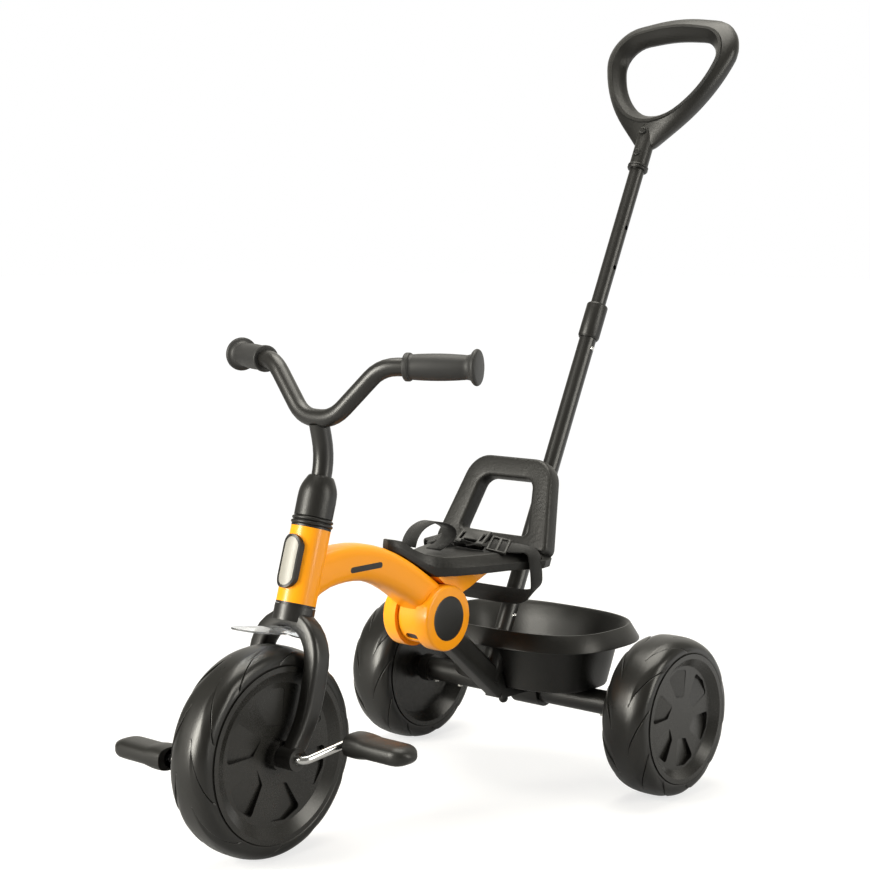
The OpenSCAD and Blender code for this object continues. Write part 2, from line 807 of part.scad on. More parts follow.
// Half shell about Z from the wheel's middle plane outwards
module wheel_half(rim_d, tyre_w, disc_d, disc_z, thickness) {
    rim_r = rim_d / 2;
    lip_z = tyre_w / 2 + lip_proud;
    seat_r = rim_r - lip_h;
    disc_r = disc_d / 2;
    rotate_extrude($fn = fine_fn)
        polygon([[0, disc_z - thickness], [0, disc_z], [disc_r, disc_z], [rim_r - lip_w, lip_z],
            [rim_r, lip_z], [rim_r, lip_z - lip_t], [seat_r, lip_z - lip_t], [seat_r, 0],
            [seat_r - rim_wall, 0], [seat_r - rim_wall, disc_z], [disc_r - rim_wall, disc_z - thickness]]);
}

// Wedge pockets cut into a disc's face, each with a floor that slopes down from one flush side
module pocket_cuts(disc_d, disc_z) {
    corners = [for (share = pocket_shares) disc_d / 2 * share[0] * [cos(share[1]), sin(share[1])]];
    deep = pocket_shares[pocket_deep_corner];
    deep_reach = disc_d / 2 * deep[0] * sin(deep[1] - pocket_flush_angle);
    for (k = [0 : pocket_count - 1])
        translate([0, 0, disc_z])
            rotate(k * 360 / pocket_count + pocket_flush_angle)
                rotate([-atan2(pocket_depth, deep_reach), 0, 0])
                    rotate(-pocket_flush_angle)
                        linear_extrude(2 * pocket_depth)
                            polygon(rounded(corners, [for (c = corners) pocket_r], 3));
}

module front_half(side) {
    color(grey) placed() translate([0, -wheelbase, front_r]) rotate([0, 90 * side, 0]) difference() {
        union() {
            wheel_half(front_rim_d, front_tyre_w, front_disc_d, front_disc_x, disc_t);
            cylinder(d = front_hub_d, h = front_hub_l);
        }
        pocket_cuts(front_disc_d, front_disc_x);
        translate([0, 0, -over]) cylinder(d = crank_d + 2 * seat_fit, h = front_hub_l + 2 * over);
    }
}

module front_wheel_left() {
    front_half(1);
}

module front_wheel_right() {
    front_half(-1);
}

module front_tyre() {
    color(black) placed() translate([0, -wheelbase, front_r]) rotate([0, 90, 0])
        tyre(front_wheel_d, front_rim_d, front_tyre_w);
}

// Children placed at a rear wheel with Z pointing outwards
module at_rear_wheel(side) {
    placed() translate([side * rear_track / 2, 0, rear_r]) rotate([0, 90 * side, 0]) children();
}

module rear_outer(side) {
    color(grey) at_rear_wheel(side) difference() {
        wheel_half(rear_rim_d, rear_tyre_w, rear_disc_d, rear_disc_x, disc_t);
        pocket_cuts(rear_disc_d, rear_disc_x);
    }
}

module rear_inner(side) {
    color(grey) at_rear_wheel(side) mirror([0, 0, 1]) difference() {
        union() {
            wheel_half(rear_rim_d, rear_tyre_w, rear_disc_d, rear_inner_disc_x, plain_disc_t);
            translate([0, 0, -rear_hub_out]) cylinder(d = rear_hub_d, h = rear_hub_in + rear_hub_out);
        }
        translate([0, 0, -rear_hub_out - over])
            cylinder(d = axle_d + 2 * run_fit, h = rear_hub_in + rear_hub_out + 2 * over);
    }
}

module rear_wheel_left_outer() {
    rear_outer(1);
}

module rear_wheel_left_inner() {
    rear_inner(1);
}

module rear_wheel_right_outer() {
    rear_outer(-1);
}

module rear_wheel_right_inner() {
    rear_inner(-1);
}

module rear_tyre_left() {
    color(black) at_rear_wheel(1) tyre(rear_wheel_d, rear_rim_d, rear_tyre_w);
}

module rear_tyre_right() {
    color(black) at_rear_wheel(-1) tyre(rear_wheel_d, rear_rim_d, rear_tyre_w);
}

// Crank and pedals
crank_bend_r = 9;
crank_inset = 0.04;
pedal_gap = 0.8;
pedal_wall = 8;
pedal_root_l = 30;
pedal_swell = 2.5;
pedal_end_l = 20;
pedal_power = 2.8;
pedal_hollow_d = 22;
pedal_hollow_l = 15;
crank_root_x = fork_boss_x + crank_out;
crank_trim = crank_bend_r * tan(atan2(crank_r, crank_lean) / 2);
pedal_x = crank_root_x + crank_lean + crank_trim + pedal_gap;

// Crank frame: at the front axle, turned as the crank stands at rest
module on_crank() {
    placed() translate([0, -wheelbase, front_r]) rotate([crank_turn, 0, 0]) children();
}

// Straight rods in the fork and the pedals, with arms skinned round their bends and sunk into the rods' ends
module crank() {
    tip_x = pedal_x + pedal_l - pedal_wall;
    root = [crank_root_x, 0, 0];
    elbow = [crank_root_x + crank_lean, crank_r, 0];
    arm = path_frames([root - [crank_trim + over, 0, 0], root, elbow, elbow + [crank_trim + over, 0, 0]],
        crank_bend_r, 6);
    color(pale) on_crank() {
        x_rod(crank_trim - crank_root_x, crank_root_x - crank_trim, 0, 0, crank_d);
        for (turn = [0, 180]) rotate(turn) {
            loft([for (frame = arm) tube_ring(frame, [0, 0, 1], crank_d - 2 * crank_inset, small_fn)]);
            x_rod(elbow[0] + crank_trim, tip_x, crank_r, 0, crank_d);
        }
    }
}

// Section of a pedal at x from its inner face: fuller near the root, closing to a dome at the end
function pedal_ring(x, around) =
    let (dome = max(0, x - pedal_l + pedal_end_l) / pedal_end_l,
        shrink = sqrt(1 - dome * dome),
        swell = pedal_swell * max(0, sin(mix(45, 180, min(1, x / pedal_root_l)))))
    [for (j = [0 : around - 1]) let (s = soft_box(j * 360 / around, pedal_power))
        [x, s[0] * shrink * pedal_w / 2, s[1] * (shrink * pedal_t / 2 + swell)]];

module pedal() {
    root_steps = 8;
    end_steps = 8;
    end_turn = 83;
    around = 28;
    difference() {
        loft(concat(
            [for (k = [0 : root_steps]) pedal_ring(pedal_root_l * k / root_steps, around)],
            [for (k = [0 : end_steps])
                pedal_ring(pedal_l - pedal_end_l * (1 - sin(end_turn * k / end_steps)), around)]));
        x_rod(-over, pedal_hollow_l, 0, 0, pedal_hollow_d);
        x_rod(-over, pedal_l - pedal_wall + seat_fit, 0, 0, crank_d + 2 * run_fit);
    }
}

module pedal_left() {
    color(black) on_crank() translate([pedal_x, crank_r, 0]) rotate([-crank_turn, 0, 0]) pedal();
}

module pedal_right() {
    color(black) on_crank() translate([-pedal_x, -crank_r, 0])
        rotate([-crank_turn, 0, 0])
            rotate(180) pedal();
}

// Seat bracket: hinge barrel, neck and the plate that carries the seat
plate_back = 87;
plate_w = 54;
plate_tip_t = 7;
plate_knee = [50, 30];
plate_heel = [37, 26];
// Shares of the beam's length where the plate's nose follows the beam
plate_nose_shares = [0.98, 0.94, 0.9];
neck_from = 16;
neck_to = 62;
neck_reach = 14;
tongue_w = 15.6;
tongue_d = 34;
tongue_fit = 0.2;
tongue_neck_share = 0.84;
fold_button_l = 20;
fold_button_w = 13;
fold_button_angle = 223;
fold_button_depth = 11;
fold_button_t = 5;
fold_button_gap = 0.3;
fold_lip = 2;
screw_d = 4;
screw_head_d = 8;
screw_head_t = 2.4;
screw_in_seat = 9;
seat_screw_x = 15;
seat_screw_y = -152;
seat_screw_counter = 6;

// Fold button frame: Z points out of the barrel along the button's axis
module on_fold_button() {
    translate([0, hinge_y, hinge_h]) rotate([fold_button_angle - 90, 0, 0]) children();
}

// Straight leg line from the hinge to the heel under the tray
leg_heel_back = 5;
leg_heel_drop = 32;
leg_heel = [push_y + leg_heel_back, push_foot_h - leg_heel_drop];
leg_run = unit(leg_heel - [hinge_y, hinge_h]);
leg_up = [-leg_run[1], leg_run[0]];

// Rectangle along the leg line from the hinge
module leg_block(length, half_h) {
    polygon([for (p = [[0, 1], [1, 1], [1, -1], [0, -1]])
        [hinge_y, hinge_h] + leg_run * p[0] * length + leg_up * p[1] * half_h]);
}

module seat_bracket() {
    plate_profile = concat(
        [[hinge_y + plate_back, seat_z], [hinge_y + plate_back, seat_z - plate_tip_t],
            [hinge_y + plate_knee[0], hinge_h + plate_knee[1]],
            [hinge_y + plate_heel[0], hinge_h + plate_heel[1]]],
        [for (share = plate_nose_shares) let (p = beam_top(share, move_gap)) if (p[1] < seat_z) p],
        [[beam_top(plate_nose_shares[2], move_gap)[0], seat_z]]);
    neck = [for (a = [neck_from, neck_to]) [hinge_y + (barrel_r + neck_reach) * cos(a),
        hinge_h + (barrel_r + neck_reach) * sin(a)]];
    color(orange) placed() difference() {
        union() {
            difference() {
                side_plate(plate_w) polygon(plate_profile);
                x_rod(-plate_w, plate_w, hinge_y, hinge_h, ear_d + 2 * move_gap);
            }
            intersection() {
                side_plate(barrel_w) polygon([[hinge_y, hinge_h], neck[0], neck[1]]);
                translate([-plate_w, hinge_y, 0]) cube([2 * plate_w, plate_back, seat_z]);
            }
            x_rod(-barrel_w / 2, barrel_w / 2, hinge_y, hinge_h, barrel_d);
        }
        x_rod(-barrel_w, barrel_w, hinge_y, hinge_h, pin_d + 2 * run_fit);
        x_rod(-tongue_w / 2 - tongue_fit, tongue_w / 2 + tongue_fit, hinge_y, hinge_h,
            tongue_d + 2 * tongue_fit);
        side_plate(tongue_w + 2 * tongue_fit)
            leg_block(barrel_d, tongue_d / 2 + tongue_fit);
        on_fold_button() translate([0, 0, barrel_r - fold_button_depth])
            linear_extrude(barrel_d) slot_outline(fold_button_l, fold_button_w);
        for (side = [-1, 1]) translate([side * seat_screw_x, seat_screw_y, 0]) {
            cylinder(d = screw_d + 2 * seat_fit, h = seat_z + over, $fn = small_fn);
            cylinder(d = screw_head_d + 2 * seat_fit, h = seat_z - seat_screw_counter, $fn = small_fn);
        }
    }
}

module fold_button() {
    top = barrel_r - fold_lip;
    l = fold_button_l - 2 * fold_button_gap;
    w = fold_button_w - 2 * fold_button_gap;
    color(black) placed() on_fold_button() translate([0, 0, top - fold_button_t])
        linear_extrude(fold_button_t) slot_outline(l, w);
}

module seat_screws() {
    head_z = seat_z - seat_screw_counter - screw_head_t;
    color(steel) placed() for (side = [-1, 1]) translate([side * seat_screw_x, seat_screw_y, head_z]) {
        cylinder(d = screw_head_d, h = screw_head_t - seat_fit, $fn = small_fn);
        cylinder(d = screw_d, h = screw_head_t + seat_screw_counter + screw_in_seat, $fn = small_fn);
    }
}

// Seat: a skin over cross sections from the rear edge to the horn, with a dished top
seat_rear_y = -70;
// Corners of a cross section and their radii: shares of the half width and of the half height
seat_section_shares = [[-0.96, -1], [0.96, -1], [1, -0.1], [0.84, 1], [-0.84, 1], [-1, -0.1]];
seat_radius_shares = [0.1, 0.1, 0.16, 0.14, 0.14, 0.16];
seat_lift = 1;
// Share of the length from the rear edge, share of the width there and share of the rise to the horn
seat_shares = [[0, 0.9, 0.1], [0.03, 0.97, 0.04], [0.1, 1, 0], [0.295, 0.745, 0], [0.475, 0.615, 0],
    [0.6, 0.475, 0], [0.66, 0.37, 0.02], [0.7, 0.28, 0.06], [0.75, 0.205, 0.16], [0.83, 0.16, 0.45],
    [0.91, 0.142, 0.83], [0.96, 0.12, 0.93], [0.982, 0.09, 0.95], [1, 0.04, 0.9]];
seat_horn_rise = 29;
belt_slot_w = 6;
belt_y = -107;

// Height of the beam's upper side at y, found by walking along the beam
function beam_top_z(y, lift) = let (hits = [for (k = [0 : 200]) let (p = beam_top(k / 200, lift))
    if (p[0] >= y) p[1]]) hits[0];
function seat_under(y) = max(seat_z, y < hinge_y ? beam_top_z(y, seat_lift) : seat_z);
function seat_y(share) = seat_rear_y - seat_l * share;
function seat_over(share, rise) = let (base = max(seat_z + seat_t, seat_under(seat_y(share)) + seat_t / 2))
    max(base, seat_z + seat_t + seat_horn_rise * rise);

module seat_pan() {
    section = rounded(seat_section_shares, seat_radius_shares, 5);
    color(black) placed() difference() {
        loft([for (row = seat_shares)
            let (y = seat_y(row[0]), low = seat_under(y), high = seat_over(row[0], row[2]),
                half_w = seat_w / 2 * row[1])
            [for (s = section) [s[0] * half_w, y, mix(low, high, (s[1] + 1) / 2)]]]);
        for (side = [-1, 1]) {
            translate([side * belt_x, belt_y, seat_z])
                cube([belt_slot_w, webbing_w + 2 * move_gap, seat_w], center = true);
            translate([side * seat_screw_x, seat_screw_y, seat_z - over])
                cylinder(d = screw_d + 2 * seat_fit, h = screw_in_seat + 2 * over, $fn = small_fn);
        }
        back_block(seat_fit);
    }
}

// Backrest: a padded band round a window, standing on the seat's rear edge
back_y = -84;
back_top_w = 128;
window_w = 110;
window_top_w = 82;
window_low = 22;
window_high = 96;
back_foot_r = 10;
back_top_r = 34;
window_foot_r = 8;
window_top_r = 16;
back_power = 5;
back_foot = 11;

// Backrest frame: Y runs up the slope and Z points out of the front
module on_backrest() {
    translate([0, back_y, seat_z + seat_t - back_foot])
        rotate([90 - back_angle, 0, 0])
            children();
}

module back_band(grow) {
    half = back_w / 2 + grow;
    steps = 7;
    outer = rounded([[-half, -grow], [half, -grow], [back_top_w / 2 + grow, back_h + grow],
        [-back_top_w / 2 - grow, back_h + grow]], [back_foot_r, back_foot_r, back_top_r, back_top_r], steps);
    inner = rounded([[-window_w / 2, window_low], [window_w / 2, window_low],
        [window_top_w / 2, window_high], [-window_top_w / 2, window_high]],
        [window_foot_r, window_foot_r, window_top_r, window_top_r], steps);
    padded_loop(outer, inner, back_t + 2 * grow, back_power, 24);
}

// Space that the backrest's foot takes in the seat
module back_block(grow) {
    on_backrest() back_band(grow);
}

module backrest() {
    color(black) placed() on_backrest() back_band(0);
}

// Harness: a waist belt through the seat's rear slots with a loop below, and an arched crotch strap
belt_x = 85;
belt_hang_h = 40;
belt_top = 5;
belt_end_y = -150;
buckle_l = 34;
buckle_w = 30;
buckle_t = 9;
slider_l = 26;
slider_t = 5;
slider_wall = 3;
crotch_from_y = -243;
crotch_to_y = -166;
crotch_rise = 30;
// Shares of the seat's length and of the horn's rise where the crotch strap starts
crotch_root_shares = [0.8, 0.34];

// Band in (x, z) that hangs between two points, as thick as the webbing
function sag(share, half, drop) = [-half * cos(180 * share), -drop * sin(180 * share)];

module waist_belt() {
    steps = 16;
    top_z = seat_z + seat_t + belt_top;
    low = [for (k = [0 : steps])
        [0, seat_z] + sag(k / steps, belt_x + webbing_t / 2, belt_hang_h + webbing_t)];
    high = [for (k = [steps : -1 : 0]) [0, seat_z] + sag(k / steps, belt_x - webbing_t / 2, belt_hang_h)];
    color(black) placed() {
        translate([0, belt_y + webbing_w / 2, 0])
            rotate([90, 0, 0])
                linear_extrude(webbing_w)
                    polygon(concat([[-belt_x - webbing_t / 2, top_z]], low,
                        [[belt_x + webbing_t / 2, top_z], [belt_x - webbing_t / 2, top_z]], high,
                        [[-belt_x + webbing_t / 2, top_z]]));
        for (side = [-1, 1])
            translate([0, 0, top_z])
                linear_extrude(webbing_t)
                    polygon([[side * (belt_x + webbing_t / 2), belt_y - webbing_w / 2],
                        [side * (belt_x + webbing_t / 2), belt_y + webbing_w / 2],
                        [side * buckle_l / 2, belt_end_y + webbing_w / 2],
                        [side * buckle_l / 2, belt_end_y - webbing_w / 2]]);
    }
}

module crotch_strap() {
    steps = 16;
    from = [crotch_from_y, seat_over(crotch_root_shares[0], crotch_root_shares[1]) + webbing_t];
    to = [crotch_to_y, seat_z + seat_t + belt_top];
    function arch(share, lift) = mix(from, to, share) + [0, (crotch_rise + lift) * sin(180 * share)];
    color(black) placed() side_plate(webbing_w)
        polygon(concat([for (k = [0 : steps]) arch(k / steps, webbing_t)],
            [for (k = [steps : -1 : 0]) arch(k / steps, 0) - [0, webbing_t / 2]]));
}

module belt_buckle() {
    color(black) placed() translate([0, belt_end_y, seat_z + seat_t + belt_top + webbing_t / 2])
        translate([0, 0, -buckle_t / 2])
            linear_extrude(buckle_t)
                polygon(rounded([[-buckle_l / 2, -buckle_w / 2], [buckle_l / 2, -buckle_w / 2],
                    [buckle_l / 2, buckle_w / 2], [-buckle_l / 2, buckle_w / 2]],
                    [slider_t, slider_t, slider_t, slider_t], 4));
}

module belt_sliders() {
    slider_share = 0.5;
    mid_x = mix(buckle_l / 2, belt_x, slider_share);
    mid_y = mix(belt_end_y, belt_y, slider_share);
    color(black) placed() for (side = [-1, 1])
        translate([side * mid_x, mid_y, seat_z + seat_t + belt_top + webbing_t / 2])
            rotate(side * atan2(belt_y - belt_end_y, belt_x - buckle_l / 2))
                difference() {
                    cube([slider_l, webbing_w + 2 * slider_wall, slider_t], center = true);
                    cube([slider_l + over, webbing_w + move_gap, webbing_t + move_gap], center = true);
                }
}

// Rear leg: from the hinge tongue down under the tray to a saddle on the axle housing
socket_d = 30;
socket_l = 42;
socket_sink = 26;
stub_wall = 2;
stub_l = 92;
stub_sink = 8;
saddle_w = 44;
saddle_t = 5;
saddle_open = 3;
tray_clear = 1.2;
leg_round = 8;
leg_low_rise = 3;
edge_round = 1;
housing_z = rear_r;
tray_floor_z = housing_z + housing_d / 2 + 2 * seat_fit;
tray_y = -4;
tray_bolt_y = -61;
tray_bolt_d = 6;
tray_bolt_head_d = 10;
tray_bolt_head_t = 3;
tray_nut_d = 12;
tray_nut_l = 11;
leg_low_z = housing_z + leg_low_rise;

// Point where two lines meet, each given by a point and a direction
function meet(p, d, q, e) =
    let (w = q - p) p + d * (w[0] * e[1] - w[1] * e[0]) / (d[0] * e[1] - d[1] * e[0]);

module rear_leg() {
    hinge = [hinge_y, hinge_h];
    root = barrel_r + 2 * move_gap + leg_round;
    wall_run = [tray_ring_y(2) - tray_ring_y(1), tray_rings[2][2] - tray_rings[1][2]];
    wall_foot = meet([tray_ring_y(1) - tray_clear, tray_rings[1][2]], wall_run, [0, tray_floor_z], [1, 0]);
    upper = meet(hinge + leg_up * leg_t / 2, leg_run, wall_foot, wall_run);
    lower = meet(hinge - leg_up * leg_t / 2, leg_run, [0, leg_low_z], [1, 0]);
    color(black) placed() difference() {
        union() {
            intersection() {
                side_plate(leg_w) polygon(rounded([hinge + leg_run * root - leg_up * leg_t / 2, lower,
                    [0, leg_low_z], [0, tray_floor_z - seat_fit], wall_foot - [0, seat_fit], upper,
                    hinge + leg_run * root + leg_up * leg_t / 2],
                    [leg_round, leg_round, edge_round, edge_round, edge_round, edge_round, leg_round], 4));
                union() {
                    along([0, hinge[0], hinge[1]], [0, leg_run[0], leg_run[1]])
                        linear_extrude(wheelbase)
                            polygon(rounded([[-leg_t / 2, -leg_w / 2], [leg_t / 2, -leg_w / 2],
                                [leg_t / 2, leg_w / 2], [-leg_t / 2, leg_w / 2]],
                                [leg_round, leg_round, leg_round, leg_round], 6));
                    side_plate(leg_w) polygon([[push_y, leg_low_z], [0, leg_low_z], [0, tray_floor_z],
                        [push_y, tray_floor_z]]);
                }
            }
            side_plate(tongue_w) leg_block(root + leg_round, tongue_d / 2 * tongue_neck_share);
            x_rod(-tongue_w / 2, tongue_w / 2, hinge_y, hinge_h, tongue_d);
            x_rod(-saddle_w / 2, saddle_w / 2, 0, housing_z, housing_d + 2 * saddle_t);
            on_push_bar() translate([0, 0, -socket_sink]) cylinder(d = socket_d, h = socket_sink + socket_l);
        }
        x_rod(-tongue_w, tongue_w, hinge_y, hinge_h, pin_d + 2 * run_fit);
        x_rod(-saddle_w, saddle_w, 0, housing_z, housing_d + 2 * seat_fit);
        translate([-saddle_w, -housing_d, tray_floor_z - saddle_open])
            cube([2 * saddle_w, 2 * housing_d, housing_d]);
        on_push_bar() {
            cylinder(d = lower_tube_d + 2 * run_fit, h = socket_l + over);
            translate([0, 0, -stub_sink]) cylinder(d = stub_d + 2 * seat_fit, h = stub_sink + over);
        }
        translate([0, tray_bolt_y, 0]) cylinder(d = tray_bolt_d + 2 * seat_fit, h = tray_floor_z + over);
    }
}

// Axle housing with stepped ends, and the rod that runs through it
housing_end_d = 37;
housing_end_l = 14;
housing_gap = 1.5;
housing_half = rear_track / 2 - rear_hub_in - housing_gap;
housing_screw_x = [-168, -125, 115];
housing_screw_d = 7;
housing_screw_l = 4;
housing_screw_sink = 2;
clip_t = 1.4;
clip_d = 18;

module axle_housing() {
    color(black) placed() difference() {
        union() {
            x_rod(-housing_half, housing_half, 0, housing_z, housing_d);
            for (side = [0, 1]) mirror([side, 0, 0])
                x_rod(housing_half - housing_end_l, housing_half, 0, housing_z, housing_end_d);
        }
        x_rod(-rear_track, rear_track, 0, housing_z, axle_d + 2 * seat_fit);
        for (x = housing_screw_x) translate([x, 0, housing_z - housing_d / 2 - over])
            cylinder(d = housing_screw_d + 2 * seat_fit, h = housing_screw_sink + over, $fn = small_fn);
    }
}

module housing_screws() {
    color(steel) placed() for (x = housing_screw_x)
        translate([x, 0, housing_z - housing_d / 2 + housing_screw_sink - housing_screw_l])
            cylinder(d = housing_screw_d, h = housing_screw_l, $fn = small_fn);
}

module rear_axle() {
    reach = rear_track / 2 + rear_hub_out + move_gap + clip_t + move_gap;
    color(steel) placed() x_rod(-reach, reach, 0, housing_z, axle_d);
}

module axle_clips() {
    start = rear_track / 2 + rear_hub_out + move_gap;
    color(steel) placed() for (side = [0, 1]) mirror([side, 0, 0]) difference() {
        x_rod(start, start + clip_t, 0, housing_z, clip_d);
        x_rod(0, rear_track, 0, housing_z, axle_d + 2 * seat_fit);
    }
}

// Tray: a cup with a flared skirt below its rim, skinned from the outside of the floor round to the inside
tray_power = 2.7;
tray_skirt_h = 21;
tray_skirt_power = 2.6;
tray_rim_r = 4;
tray_skirt_w = 11;
tray_foot_r = 5;
// Insets of the floor's edge and of the wall from the skirt, in x and y
tray_floor_in = [44, 41.8];
tray_wall_in = [26.4, 22];
tray_rim_in = [tray_skirt_w, tray_skirt_w];
tray_wall_step = [tray_wall, tray_wall];
tray_foot_step = [tray_foot_r, tray_foot_r];
tray_rim_z = tray_floor_z + tray_h;
tray_skirt_z = tray_rim_z - tray_skirt_h;
// Half width, half length and height of a ring at an inset from the skirt
function tray_ring(inset, z) = [tray_w / 2 - inset[0], tray_l / 2 - inset[1], z];
// Outside of the skirt from its lower edge up to the rim
function tray_skirt(turn) = let (s = soft_box(turn, tray_skirt_power))
    tray_ring(tray_rim_in * (1 - s[0]), tray_skirt_z + tray_skirt_h * s[1]);
tray_skirt_steps = 6;
tray_rings = concat([
    tray_ring(tray_floor_in, tray_floor_z),
    tray_ring(tray_floor_in - tray_foot_step, tray_floor_z + tray_foot_r / 2),
    tray_ring(tray_wall_in, tray_skirt_z),
    tray_ring(tray_rim_in + tray_wall_step, tray_rim_z - 2 * tray_wall),
    tray_ring(tray_wall_step, tray_skirt_z)],
    [for (k = [0 : tray_skirt_steps]) tray_skirt(90 * k / tray_skirt_steps)], [
    tray_ring(tray_rim_in + tray_wall_step, tray_rim_z - tray_wall / 2),
    tray_ring(tray_rim_in + tray_wall_step * 2, tray_rim_z - tray_rim_r),
    tray_ring(tray_wall_in + tray_wall_step, tray_skirt_z),
    tray_ring(tray_floor_in - tray_foot_step + tray_wall_step, tray_floor_z + tray_foot_r),
    tray_ring(tray_floor_in, tray_floor_z + tray_wall)]);
function tray_ring_y(i) = tray_y - tray_rings[i][1];

module tray() {
    around = 48;
    color(black) placed() difference() {
        loft([for (ring = tray_rings)
            [for (j = [0 : around - 1]) let (s = soft_box(j * 360 / around, tray_power))
                [s[0] * ring[0], tray_y + s[1] * ring[1], ring[2]]]]);
        on_push_bar() translate([0, 0, -socket_sink])
            cylinder(d = socket_d + 2 * move_gap, h = socket_sink + socket_l + tray_h);
        translate([0, tray_bolt_y, 0]) cylinder(d = tray_bolt_d + 2 * seat_fit, h = tray_rim_z);
    }
}

module tray_bolt() {
    top = tray_floor_z + tray_wall + seat_fit;
    foot = leg_low_z - tray_nut_l / 2;
    color(steel) placed() translate([0, tray_bolt_y, 0]) {
        translate([0, 0, top]) cylinder(d = tray_bolt_head_d, h = tray_bolt_head_t);
        translate([0, 0, foot]) cylinder(d = tray_bolt_d, h = top - foot + tray_bolt_head_t);
    }
}

module tray_nut() {
    steps = 5;
    color(black) placed() translate([0, tray_bolt_y, leg_low_z - tray_nut_l - seat_fit]) difference() {
        rotate_extrude($fn = small_fn)
            polygon(concat([[0, tray_nut_l]], [[tray_nut_d / 2, tray_nut_l]],
                [for (k = [0 : steps]) let (t = 90 * k / steps)
                    [tray_nut_d / 2 * cos(t), tray_nut_l / 2 * (1 - sin(t))]]));
        translate([0, 0, tray_nut_l / 2]) cylinder(d = tray_bolt_d + 2 * seat_fit, h = tray_nut_l);
    }
}

// Push bar: stub in the socket, lower tube over it, telescoping upper tube and the loop handle
stub_d = lower_tube_d - 2 * tube_wall - 2 * run_fit;
upper_tube_d = lower_tube_d - 2 * tube_wall - 2 * run_fit;
button_d = 6;
button_proud = 2.6;
button_hole_gap = 0.3;
button_skin = 0.25;
socket_button_l = 64;
telescope_button_drop = 64;
telescope_button_l = collar_top_l - telescope_button_drop;
collar_l_push = 50;
collar_d_push = 29;
collar_skirt_d = 26;
upper_overlap = 230;
tube_rest = 0.2;

// Cross hole on the +X side of the push bar at a distance along it
module button_hole(l, d) {
    translate([0, 0, l]) rotate([0, 90, 0]) cylinder(d = d, h = lower_tube_d, $fn = small_fn);
}

// Round-headed snap button that passes through the lower tube's wall
module snap_button(l) {
    steps = 6;
    inner_x = stub_d / 2 + button_skin;
    shank_l = lower_tube_d / 2 - inner_x;
    translate([inner_x, 0, l]) rotate([0, 90, 0])
        rotate_extrude($fn = small_fn)
            polygon(concat([[0, 0], [button_d / 2, 0]], [for (k = [0 : steps]) let (t = 90 * k / steps)
                [button_d / 2 * cos(t), shank_l + button_proud * sin(t)]]));
}

module push_stub() {
    color(steel) placed() on_push_bar() difference() {
        translate([0, 0, seat_fit - stub_sink]) cylinder(d = stub_d, h = stub_l + stub_sink);
        translate([0, 0, -stub_sink]) cylinder(d = stub_d - 2 * stub_wall, h = stub_l + stub_sink + over);
        button_hole(socket_button_l, button_d + 2 * button_hole_gap);
    }
}

module push_tube_lower() {
    color(black) placed() on_push_bar() difference() {
        translate([0, 0, tube_rest]) cylinder(d = lower_tube_d, h = collar_top_l - tube_wall - tube_rest);
        cylinder(d = lower_tube_d - 2 * tube_wall, h = collar_top_l);
        for (l = [socket_button_l, telescope_button_l]) button_hole(l, button_d + 2 * button_hole_gap);
    }
}

module socket_button() {
    color(pale) placed() on_push_bar() snap_button(socket_button_l);
}

module telescope_button() {
    color(pale) placed() on_push_bar() snap_button(telescope_button_l);
}

module telescope_collar() {
    collar_round = 3;
    cap_bore_r = upper_tube_d / 2 + run_fit;
    tube_bore_r = lower_tube_d / 2 + seat_fit;
    step_z = collar_l_push - tube_wall;
    color(black) placed() on_push_bar() translate([0, 0, collar_top_l - collar_l_push])
        rotate_extrude($fn = fine_fn)
            polygon(concat([[tube_bore_r, 0], [collar_skirt_d / 2, 0], [collar_d_push / 2, collar_round]],
                corner_arc([collar_d_push / 2, 0], [collar_d_push / 2, collar_l_push],
                    [cap_bore_r, collar_l_push], collar_round, 5),
                [[cap_bore_r, collar_l_push], [cap_bore_r, step_z], [tube_bore_r, step_z]]));
}

module push_tube_upper() {
    foot = collar_top_l - upper_overlap;
    holes = 4;
    color(black) placed() on_push_bar() difference() {
        translate([0, 0, foot]) cylinder(d = upper_tube_d, h = neck_top_l - foot);
        translate([0, 0, foot - over])
            cylinder(d = upper_tube_d - 2 * tube_wall, h = neck_top_l - foot + 2 * over);
        for (k = [0 : holes - 1])
            button_hole(telescope_button_l + push_travel * k / (holes - 1), button_d + 2 * button_hole_gap);
    }
}

// Loop handle: a padded band round a three-cornered opening, on a round neck
neck_d = 25.5;
neck_ring_d = 28;
neck_ring_h = 7;
neck_top_l = 772;
neck_solid_l = 22;
handle_low_l = 740;
handle_screw_d = 6;
handle_screw_t = 2;
handle_screw_low_l = 731;
handle_screw_high_l = 764;
handle_screw_sink = 1;
// Corners of the right half from the lower tip to the top: shares of the half width, of the height and,
// for the corner's radius, of the half width
handle_outer_shares = [[0, -0.043, 0.2], [0.824, 0.395, 2.2], [1.1, 0.914, 0.385], [0, 1.007, 2.25]];
handle_inner_shares = [[0, 0.167, 0.47], [0.523, 0.459, 1.05], [0.715, 0.785, 0.22], [0, 0.83, 2.25]];

// Closed outline of the handle from the corners of its right half
function handle_outline(shares, steps) =
    let (half = handle_w / 2, rise = push_l - handle_low_l,
        right = [for (s = shares) [s[0] * half, handle_low_l + s[1] * rise]],
        corners = concat(right, [for (i = [2 : -1 : 1]) [-right[i][0], right[i][1]]]),
        radii = [for (i = [0, 1, 2, 3, 2, 1]) shares[i][2] * half])
    rounded(corners, radii, steps);

